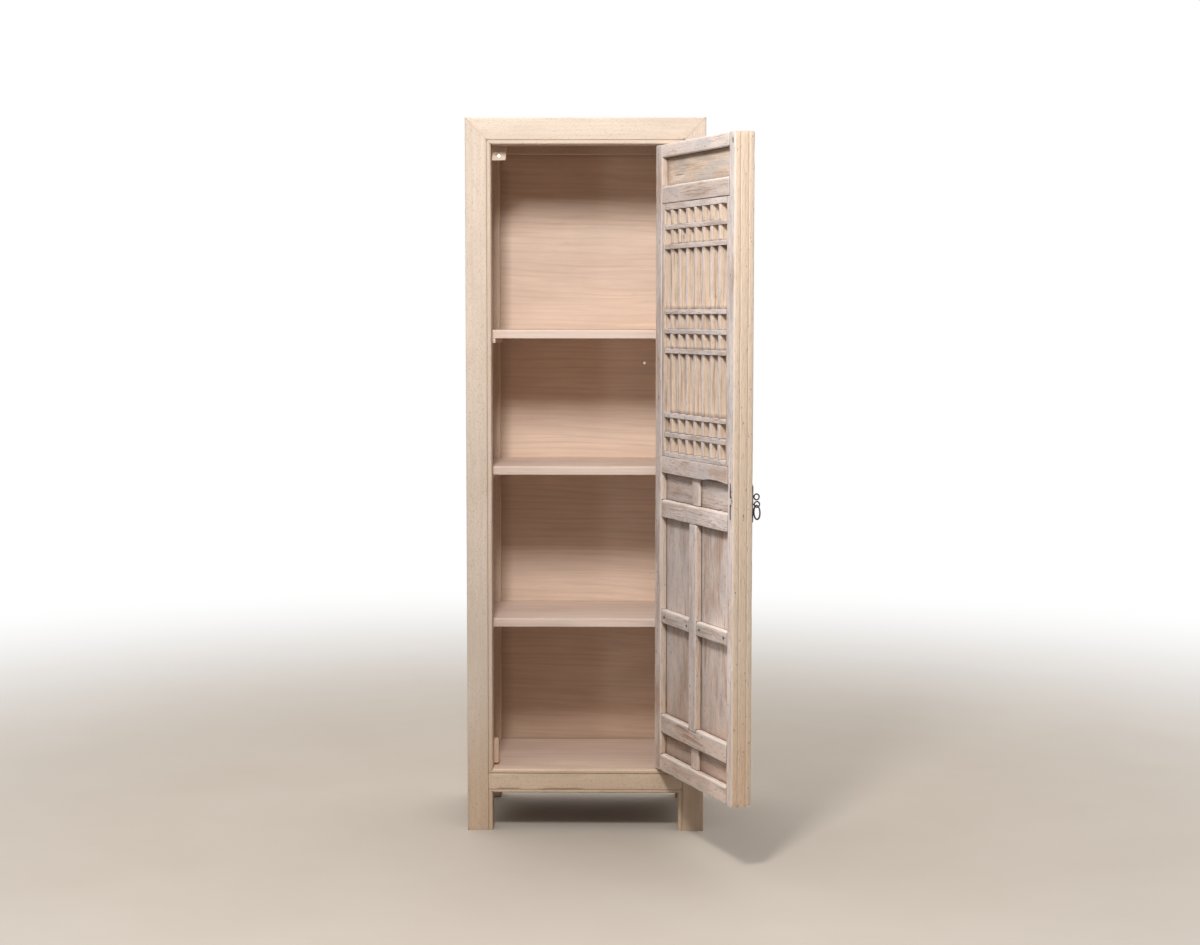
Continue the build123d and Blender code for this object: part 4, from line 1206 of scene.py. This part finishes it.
    def build(self, index: int) -> None:
        """Make the piece, dress it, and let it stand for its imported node.

        Args:
            index: number of the piece, which sets its own figure.
        """
        joined = bmesh.new()
        touching = self.touching()
        boxes = [box for box, _ in touching]
        to_model = self.setting.to_model()
        values: dict[str, list[float]] = {"rub": [], "nook": [], "seed": [], "seam": []}
        for number, solid in enumerate(self.solids()):
            seed = (index * self.SEED_STEPS[0] + number * self.SEED_STEPS[1]) % 1.0
            out, inward = self.creases(solid)
            self.cut(solid, boxes, inward)
            points = np.array([vert.co for vert in solid.verts])
            rub, corner = self.nearness(points, out, self.ageing.reach * MM)
            # Painted shade and soiling: darkness near inward corners, and on panels near their frame.
            nook, _ = self.nearness(points, inward, self.DIRT_AND_SHADE_REACH)
            if self.border:
                nook = np.maximum(nook, self.frame_shade(points))
            values["rub"].extend(rub)
            values["nook"].extend(nook)
            values["seed"].extend([seed] * len(points))
            values["seam"].extend(self.seams([to_model @ vert.co for vert in solid.verts], touching))
            solid.normal_update()
            self.crack(solid)
            self.wear(solid, rub, corner, seed)
            merge(joined, solid)
        bmesh.ops.transform(joined, matrix=to_model, verts=joined.verts)
        mesh = settle(joined, f"timber_{self.node}")
        piece = present(mesh, values, self.SHARP, self.finish.material(self.setting, self.grain))
        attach(piece, self.body)
        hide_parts(self.node)

    def seams(self, points: Sequence[Vector],
              touching: Sequence[tuple[np.ndarray, BVHTree]]) -> list[float]:
        """How near each point is to another piece.

        Args:
            points: points in the model's frame.
            touching: the pieces that this one touches.

        Returns:
            One value for each point, 1 against another piece and 0 away from all.
        """
        made = []
        for spot in points:
            gap = 1.0
            for _, tree in touching:
                hit = tree.find_nearest(spot, 3.0 * self.SEAM_REACH)
                if hit[0] is not None:
                    gap = min(gap, hit[3])
            made.append(math.exp(-(gap / self.SEAM_REACH) ** 2))
        return made

    def frame_shade(self, points: np.ndarray) -> np.ndarray:
        """Painted shade and soiling that darken a panel towards the frame that holds it, leaving out
        its hidden tongue.

        Args:
            points: the panel's points, along the setting's axes.

        Returns:
            How dark each point is, from 0 to 1.
        """
        low, high = points.min(0) + self.TONGUE, points.max(0) - self.TONGUE
        gaps = [np.minimum(points[:, axis] - low[axis], high[axis] - points[:, axis])
                for axis in (0, 2)]
        gap = np.clip(np.minimum(*gaps), 0.0, None)
        return self.BORDER_SHADE * np.exp(-gap / self.border)


# ---------------------------------------------------------------- ironwork
def tube(path: Sequence[Vector], radii: Sequence[tuple[float, float]], closed: bool,
         side: Vector, sides: int = 14) -> bmesh.types.BMesh:
    """A solid bar of oval section along a path.

    Args:
        path: points along the middle of the bar.
        radii: half its width, along side, and half its other width, at each point.
        closed: whether the bar runs round into itself.
        side: a direction square to the path, which stays the bar's first width.
        sides: points round the section.

    Returns:
        The bar as a closed mesh.
    """
    made = bmesh.new()
    count = len(path)
    rings = []
    for number, spot in enumerate(path):
        after = path[(number + 1) % count] if closed or number < count - 1 else spot
        before = path[number - 1] if closed or number else spot
        up = side.cross((after - before).normalized()).normalized()
        wide, thick = radii[number]
        ring = []
        for step in range(sides):
            angle = math.tau * step / sides
            ring.append(made.verts.new(
                spot + side * wide * math.cos(angle) + up * thick * math.sin(angle)))
        rings.append(ring)
    for number in range(count if closed else count - 1):
        first, second = rings[number], rings[(number + 1) % count]
        for step in range(sides):
            after = (step + 1) % sides
            made.faces.new((first[step], first[after], second[after], second[step]))
    if not closed:
        made.faces.new(rings[0])
        made.faces.new(list(reversed(rings[-1])))
    bmesh.ops.recalc_face_normals(made, faces=made.faces)
    return made


@dataclass
class RingPull:
    """The forged pull: its plate, its two cotter pins and the ring.

    Attributes:
        leaf: the leaf's axes.
        door: how the leaf stands.
        eye_radius: radius of an eye, to the middle of its wire.
        eye_uneven: how far that hand-bent line wanders inwards from the circle.
        wire: radius of the pins' wire.
        eye_up: height of each eye above the leaf's lower end.
        eye_out: distance of each eye's middle from the leaf's outer face.
        clench: run of each pin's legs on the inner face, upwards where positive.
        ring_radius: radius of the ring, to the middle of its bar.
        bar: radius of the ring's bar.
        play: room between the ring and the eye that it hangs in.
    """

    leaf: Setting
    door: DoorGeometry
    eye_radius: float = 6.8
    eye_uneven: float = 0.25
    wire: float = 1.9
    eye_up: dict[str, float] = field(default_factory=lambda: {"upper": 726.8, "lower": 709.1})
    eye_out: dict[str, float] = field(default_factory=lambda: {"upper": 15.5, "lower": 16.5})
    clench: dict[str, float] = field(default_factory=lambda: {"upper": 34.0, "lower": -34.0})
    ring_radius: float = 16.3
    bar: float = 2.0
    play: float = 0.35

    EYE_POINTS = 48  # points round an eye
    RING_POINTS = 72  # points round the ring
    RING_SIDES = 16  # points round the ring's section
    BEND = 2.4  # radius in millimetres of the turn from shank to leg
    BEND_STEPS = 6  # parts of that turn
    RUB_SIZE = 420.0  # bright rubbed spots to a metre
    SHARP = math.radians(50.0)  # angle from which an edge stays sharp

    def place(self, made: bmesh.types.BMesh, name: str, body: str, nodes: Iterable[str]) -> None:
        """Turn a finished mesh into a piece of old iron.

        Args:
            made: mesh under construction, which is freed.
            name: name of the piece.
            body: body that it moves with.
            nodes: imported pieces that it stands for.
        """
        mesh = settle(made, name)
        rub = [max(0.0, 1.4 * noise.noise(vert.co * self.RUB_SIZE) - 0.1) for vert in mesh.vertices]
        piece = present(mesh, {"rub": rub}, self.SHARP, OLD_IRON.material())
        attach(piece, body)
        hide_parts(*nodes)

    def leaf_axis(self, axis: int) -> Vector:
        """The direction of one of the leaf's axes in the model's frame."""
        return self.leaf.to_model().to_3x3().col[axis].normalized()

    def eye_ring(self, up: float, out: float) -> list[Vector]:
        """The middle of an eye's wire, a hand-bent circle square to the leaf's outer face.

        Args:
            up: height of the eye's middle above the leaf's lower end, in millimetres.
            out: its distance from the leaf's inner face.

        Returns:
            Points in the model's frame.
        """
        points = []
        for step in range(self.EYE_POINTS):
            angle = math.tau * step / self.EYE_POINTS
            reach = self.eye_radius - self.eye_uneven * (0.5 + 0.5 * math.sin(2 * angle + 0.7))
            deep, rise = reach * math.cos(angle), reach * math.sin(angle)
            points.append(self.leaf.point(self.door.pull_across, out + deep, up + rise))
        return points

    def leg_route(self, neck: float, tail: float) -> list[tuple[float, float]]:
        """The way of a pin's shank through the stile and of its legs along the inner face.

        Args:
            neck: where the shank leaves the eye, in millimetres from the leaf's inner face.
            tail: run of the legs, upwards where positive.

        Returns:
            Distances from the inner face, and heights above the shank.
        """
        sign = math.copysign(1.0, tail)
        flat = self.wire * 0.5
        route = [(neck, 0.0), (30.0, 0.0), (8.0, 0.0), (self.BEND, 0.0)]
        for step in range(1, self.BEND_STEPS):
            angle = math.radians(90.0 * step / self.BEND_STEPS)
            deep = self.BEND - (self.BEND + flat) * math.sin(angle)
            route.append((deep, sign * 2.2 * (1 - math.cos(angle))))
        return route + [(-flat, sign * self.BEND), (-flat, tail * 0.4), (-flat, tail * 0.75),
                        (-flat, tail - sign * 0.4)]

    def build_pin(self, name: str) -> None:
        """One cotter pin: its eye, its shank and its clenched legs.

        Args:
            name: upper or lower.
        """
        up = self.eye_up[name]
        out = self.door.thickness + self.eye_out[name]
        side = self.leaf_axis(0)
        radii = []
        for step in range(self.EYE_POINTS):
            thick = self.wire * MM * (0.94 + 0.06 * math.sin(5 * math.tau * step / self.EYE_POINTS))
            radii.append((thick, thick * 0.95))
        made = tube(self.eye_ring(up, out), radii, True, side)
        tail = self.clench[name]
        flat = self.wire * 0.5
        route = self.leg_route(out - self.eye_radius + 0.4, tail)
        path = [self.leaf.point(self.door.pull_across, deep, up + rise) for deep, rise in route]
        radii = []
        for deep, rise in route:
            flatten = min(1.0, max(0.0, (self.BEND - deep) / (self.BEND + flat)))
            taper = 1.0 - 0.45 * abs(rise / tail) ** 3
            thick = (self.wire * 0.9 * (1 - flatten) + flat * flatten) * 0.98
            radii.append((self.wire * MM * taper, thick * MM))
        merge(made, tube(path, radii, False, side))
        self.place(made, f"forged_{name}_cotter_pin", "door_leaf", (f"{name}_cotter_pin",))

    def build_ring(self) -> None:
        """The ring, bent round by hand from a bar, hanging in the lower eye."""
        top = self.eye_up["lower"] - self.eye_radius + self.wire + self.bar + self.play
        out = self.door.thickness + self.eye_out["lower"]
        points, radii = [], []
        for step in range(self.RING_POINTS):
            angle = math.tau * step / self.RING_POINTS
            low = 0.5 - 0.5 * math.sin(angle)
            reach = self.ring_radius - 0.3 * low * (0.5 + 0.5 * math.sin(3 * angle))
            across, rise = reach * math.cos(angle), reach * math.sin(angle)
            points.append(self.leaf.point(self.door.pull_across + across, out,
                                          top - self.ring_radius + rise))
            thick = (0.93 + 0.07 * low + 0.03 * low * math.sin(7 * angle)) * self.bar * MM * 0.97
            radii.append((thick, thick))
        made = tube(points, radii, True, self.leaf_axis(1), self.RING_SIDES)
        self.place(made, "forged_pull_ring", "ring_pull", ("pull_ring",))

    def build(self) -> None:
        """Both pins and the ring."""
        for name in self.eye_up:
            self.build_pin(name)
        self.build_ring()


# ---------------------------------------------------------------- sub-assemblies
def acquaint(timbers: list[Timber], metal: str) -> list[Timber]:
    """Tell the timbers of a sub-assembly which pieces they may touch.

    Args:
        timbers: the timbers.
        metal: name of a metal piece that is let into one of them.

    Returns:
        The same timbers.
    """
    names = [timber.node for timber in timbers] + [metal]
    for timber in timbers:
        timber.neighbours = names
    return timbers


def dress_packed(node: str, finish: MetalFinish) -> None:
    """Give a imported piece, whose shape is right, a finish of its own.

    Args:
        node: name of the piece.
        finish: its finish.
    """
    mesh = packed_mesh(node)
    mesh.materials.clear()
    mesh.materials.append(finish.material())


@dataclass
class Carcass:
    """The new frame with its panels, shelves and stops.

    Attributes:
        setting: the model's own axes.
        body: body that the carcass is.
        board_step: spacing of the cuts along wide boards, in metres.
        panel_border: width over which a panel darkens towards its frame with painted shade and soiling,
            in metres.
    """

    setting: Setting
    body: str = "carcass"
    board_step: float = 0.04
    panel_border: float = 0.012

    def new(self, node: str, grain: Grain, finish: TimberFinish) -> Timber:
        """One new timber of the carcass."""
        return Timber(node, self.body, self.setting, grain, finish, NEW)

    def timbers(self) -> list[Timber]:
        """Every timber of the carcass."""
        upright = ("front_left_post", "front_right_post", "rear_left_post", "rear_right_post",
                   "door_stop_strip")
        across = ("front_top_rail", "front_low_rail", "rear_top_rail", "rear_low_rail",
                  "door_stop_block")
        deep = ("left_top_rail", "left_low_rail", "right_top_rail", "right_low_rail")
        boards = ("bottom_board", "upper_shelf", "middle_shelf", "lower_shelf")
        cleats = ("upper_shelf_cleats", "middle_shelf_cleats", "lower_shelf_cleats")
        panels = {"back_panel": Grain.ACROSS, "top_panel": Grain.ACROSS,
                  "left_side_panel": Grain.UPRIGHT, "right_side_panel": Grain.UPRIGHT}
        made = [self.new(node, Grain.UPRIGHT, NEW_WOOD) for node in upright]
        made += [self.new(node, Grain.ACROSS, NEW_WOOD) for node in across]
        made += [self.new(node, Grain.DEEP, NEW_WOOD) for node in deep]
        wide = [self.new(node, Grain.ACROSS, SHELF_WOOD) for node in boards]
        made += wide + [self.new(node, Grain.DEEP, SHELF_WOOD) for node in cleats]
        framed = [self.new(node, grain, BACK_WOOD) for node, grain in panels.items()]
        for timber in wide + framed:
            timber.step = self.board_step
        for timber in framed:
            timber.border = self.panel_border
        return acquaint(made + framed, "back_screw")

    def dress_metal(self) -> None:
        """Give the catch and the screw their metal."""
        dress_packed("catch_magnet", PLAIN_STEEL)
        dress_packed("back_screw", BRIGHT_STEEL)


@dataclass
class DoorLeaf:
    """The old lattice leaf.

    Attributes:
        setting: the leaf's axes.
        body: body that the leaf is.
        step: spacing of the cuts along its timbers, in metres.
        panel_border: width over which a panel darkens towards its frame with painted shade and soiling,
            in metres.
        splits: the cracks in its timbers.
    """

    setting: Setting
    body: str = "door_leaf"
    step: float = 0.014
    panel_border: float = 0.006
    splits: tuple[Split, ...] = (Split("door_frieze_panel", (80.0, 140.0), 1489.0, 1.6, 3.0),)

    def timbers(self) -> list[Timber]:
        """Every timber of the leaf."""
        upright = ("door_hinge_stile", "door_long_muntin", "door_small_muntin", "door_foot_muntin")
        rails = ("door_lattice_rail", "door_waist_rail", "door_lower_rail", "door_bottom_rail")
        up_bars = ("lattice_side_hinge_side", "lattice_side_free_side", "lattice_uprights")
        cross_bars = ("lattice_head", "lattice_sill", "lattice_crossbars")
        panels = ("door_small_panel_hinge_side", "door_small_panel_free_side",
                  "door_foot_panel_hinge_side", "door_foot_panel_free_side")
        tall = ("door_tall_panel_hinge_side", "door_tall_panel_free_side")
        battens = ("door_batten_hinge_side", "door_batten_free_side")
        made = [self.old("door_free_stile", Grain.UPRIGHT, OLD_DOOR_WOOD)]
        made += [self.old(node, Grain.UPRIGHT, INNER_DOOR_WOOD) for node in upright]
        made += [self.old(node, Grain.ACROSS, INNER_DOOR_WOOD) for node in rails]
        made.append(self.old("door_top_rail", Grain.ACROSS, TOP_RAIL_WOOD))
        made.append(self.old("door_frieze_rail", Grain.ACROSS, FRIEZE_RAIL_WOOD))
        made.append(self.panel("door_frieze_panel", Grain.ACROSS, FRIEZE_PANEL_WOOD))
        made += [self.old(node, Grain.UPRIGHT, LATTICE_WOOD, OLD_BARS) for node in up_bars]
        made += [self.old(node, Grain.ACROSS, LATTICE_WOOD, OLD_BARS) for node in cross_bars]
        made += [self.panel(node, Grain.ACROSS, OLD_PANEL_WOOD) for node in panels]
        made += [self.panel(node, Grain.UPRIGHT, OLD_PANEL_WOOD) for node in tall]
        made += [self.old(node, Grain.ACROSS, BATTEN_WOOD) for node in battens]
        for timber in made:
            timber.splits = [split for split in self.splits if split.node == timber.node]
        return acquaint(made, "pull_plate")

    def old(self, node: str, grain: Grain, finish: TimberFinish, ageing: Ageing = OLD) -> Timber:
        """One old timber of the leaf.

        Args:
            node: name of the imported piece.
            grain: axis that its fibres run along.
            finish: its finish.
            ageing: how worn it is.

        Returns:
            The timber.
        """
        return Timber(node, self.body, self.setting, grain, finish, ageing, step=self.step)

    def panel(self, node: str, grain: Grain, finish: TimberFinish) -> Timber:
        """One old panel of the leaf.

        Args:
            node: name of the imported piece.
            grain: axis that its fibres run along.
            finish: its finish.

        Returns:
            The panel.
        """
        made = self.old(node, grain, finish)
        made.border = self.panel_border
        return made

    def dress_metal(self) -> None:
        """Give the nails, the strike and the pull's plate their metal."""
        dress_packed("batten_nails", NAIL_IRON)
        dress_packed("catch_strike", PLAIN_STEEL)
        dress_packed("pull_plate", OLD_IRON)


# ---------------------------------------------------------------- studio
@dataclass
class Studio:
    """Floor, light and camera. Places are in metres from the floor under the carcass's middle.

    Attributes:
        middle: point on the floor under the middle of the carcass.
        fill: strength of the even light, from below and from above.
        fill_rise: height of the directions between which it grows from one to the other.
        rear_fill: strength of the even light from behind, which can't shine into the carcass.
        rear_back: how far back its directions point, where it starts and where it is full.
        rear_rise: how high they point, where it starts and where it is full.
        key_place: place of the main lamp.
        key_size: its width and height.
        key_power: its power in watts.
        side_place: place of the weak lamp far to the left.
        side_size: its width and height.
        side_power: its power in watts.
        aim: point that both lamps look at.
        camera_place: place of the camera.
        camera_turn: yaw, pitch and roll of the camera, in radians.
        lens: focal length in millimetres for a sensor 36 mm wide.
        floor_half: half the floor's width.
        floor_fade: distances at which the floor starts to fade into white, and is white.
        floor_tones: the two colours that the floor drifts between.
        floor_bounce: colour of the floor as it lights the cabinet.
    """

    middle: Vector
    fill: tuple[float, float] = (0.01, 1.2)
    fill_rise: tuple[float, float] = (0.3, 0.9)
    rear_fill: float = 0.8
    rear_back: tuple[float, float] = (-0.05, 0.5)
    rear_rise: tuple[float, float] = (0.16, 0.42)
    key_place: Triple = (-0.24, -2.16, 2.55)
    key_size: tuple[float, float] = (0.3, 0.5)
    key_power: float = 44.8
    side_place: Triple = (-2.55, -3.35, 0.95)
    side_size: tuple[float, float] = (0.35, 1.6)
    side_power: float = 9.4
    aim: Triple = (0.05, -0.2, 0.9)
    camera_place: Triple = (0.1076, -5.2964, 1.3129)
    camera_turn: Triple = (0.0139, -0.0778, -0.0006)
    lens: float = 60.966
    floor_half: float = 14.0
    floor_fade: tuple[float, float] = (1.0, 4.5)
    floor_tones: tuple[Colour, Colour] = ((0.47, 0.405, 0.34), (0.52, 0.465, 0.40))
    floor_bounce: Colour = (0.20, 0.18, 0.16)

    def build_camera(self) -> None:
        """The camera, level with the cabinet's upper half and a little to its right."""
        data = bpy.data.cameras.new("camera")
        data.sensor_fit = "HORIZONTAL"
        data.sensor_width = 36.0
        data.lens = self.lens
        data.clip_end = 100.0
        camera = add_object("camera", data)
        yaw, pitch, roll = self.camera_turn
        turn = (Matrix.Rotation(yaw, 4, "Z") @ Matrix.Rotation(pitch, 4, "X")
                @ Matrix.Rotation(roll, 4, "Y"))
        upright = Matrix.Rotation(math.radians(90.0), 4, "X")
        place = Matrix.Translation(self.middle + Vector(self.camera_place))
        camera.matrix_world = place @ turn @ upright
        bpy.context.scene.camera = camera

    def build_lamp(self, name: str, place: Triple, size: tuple[float, float], power: float) -> None:
        """A soft box that looks at the cabinet.

        Args:
            name: its name.
            place: its place.
            size: its width and height.
            power: its power in watts.
        """
        data = bpy.data.lights.new(name, "AREA")
        data.shape = "RECTANGLE"
        data.size, data.size_y = size
        data.energy = power
        lamp = add_object(name, data)
        turn = (Vector(self.aim) - Vector(place)).to_track_quat("-Z", "Y").to_matrix().to_4x4()
        lamp.matrix_world = Matrix.Translation(self.middle + Vector(place)) @ turn

    def build_lights(self) -> None:
        """A soft box above the front, a weak one far to the left, and a fill from above and behind."""
        self.build_lamp("soft_box", self.key_place, self.key_size, self.key_power)
        self.build_lamp("side_box", self.side_place, self.side_size, self.side_power)
        world = bpy.data.worlds.new("studio")
        bpy.context.scene.world = world
        world.use_nodes = True
        sky = Nodes(world.node_tree)
        _, back, rise = sky.split(sky.node("TexCoord").outputs["Generated"])
        fill = sky.span(rise, *self.fill_rise, *self.fill, eased=False)
        behind = sky.span(back, *self.rear_back, 0.0, self.rear_fill, eased=False)
        above = sky.span(rise, *self.rear_rise, eased=False)
        both = sky.node("Math", operation="MULTIPLY_ADD")
        for socket, value in zip(both.inputs, (behind, above, fill)):
            sky.feed(socket, value)
        strength = sky.span(sky.seen(), 0.0, 1.0, both.outputs[0], 1.0, eased=False)
        background = sky.node("Background")
        sky.feed(background.inputs["Color"], (1.0, 1.0, 1.0))
        sky.feed(background.inputs["Strength"], strength)
        sky.feed(sky.node("OutputWorld").inputs["Surface"], background.outputs[0])

    def floor_material(self) -> bpy.types.Material:
        """The floor's finish, which fades into white away from the cabinet."""
        shader = Shader("pale_floor")
        place = shader.vector("SUBTRACT", shader.node("TexCoord").outputs["Object"], tuple(self.middle))
        length = shader.node("VectorMath", operation="LENGTH")
        shader.feed(length.inputs[0], place)
        fade = shader.span(length.outputs["Value"], *self.floor_fade)
        tone = shader.mix(shader.noise(place, Layer(2.5, 2.5, 4.0)), *self.floor_tones)
        seen = shader.seen()
        ground = shader.node("BsdfPrincipled")
        shader.feed(ground.inputs["Base Color"], shader.mix(seen, self.floor_bounce, tone))
        shader.feed(ground.inputs["Roughness"], 0.8)
        shader.feed(ground.inputs["Specular IOR Level"], 0.1)
        white = shader.node("Emission")
        glow = shader.span(seen, 0.0, 1.0, self.fill[0], 1.0, eased=False)
        shader.feed(white.inputs["Strength"], glow)
        both = shader.node("MixShader")
        for socket, value in zip(both.inputs, (fade, ground.outputs[0], white.outputs[0])):
            shader.feed(socket, value)
        shader.feed(shader.node("OutputMaterial").inputs["Surface"], both.outputs[0])
        return shader.material

    def build_floor(self) -> None:
        """A plain pale floor."""
        made = bmesh.new()
        bmesh.ops.create_grid(made, x_segments=8, y_segments=8, size=self.floor_half)
        bmesh.ops.translate(made, verts=made.verts, vec=self.middle)
        mesh = settle(made, "floor")
        mesh.materials.append(self.floor_material())
        floor = add_object("floor", mesh)

    def build(self) -> None:
        """Floor, lights and camera, and how the picture shows its colours."""
        self.build_camera()
        self.build_lights()
        self.build_floor()
        bpy.context.scene.view_settings.view_transform = "Standard"


def main() -> None:
    """Build the studio, the carcass, the leaf and its pull in turn."""
    noise.seed_set(WARP_SEED)
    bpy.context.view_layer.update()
    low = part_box("front_left_post")[0]
    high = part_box("rear_right_post")[1]
    middle = Vector(((low.x + high.x) / 2, (low.y + high.y) / 2, 0.0))
    door = DoorGeometry()
    pivot = next(joint["pos_m"] for joint in FRAME["joints"] if joint["name"] == "door_hinge")
    leaf_setting = door.setting(pivot)
    carcass = Carcass(Setting("carcass", Vector((0.0, 0.0, 0.0)), 0.0))
    leaf = DoorLeaf(leaf_setting)
    Studio(middle).build()
    for index, timber in enumerate(carcass.timbers() + leaf.timbers()):
        timber.build(index)
    carcass.dress_metal()
    leaf.dress_metal()
    RingPull(leaf_setting, door).build()


if __name__ == "__main__":
    logging.basicConfig(level=logging.INFO, format="%(message)s")
    main()
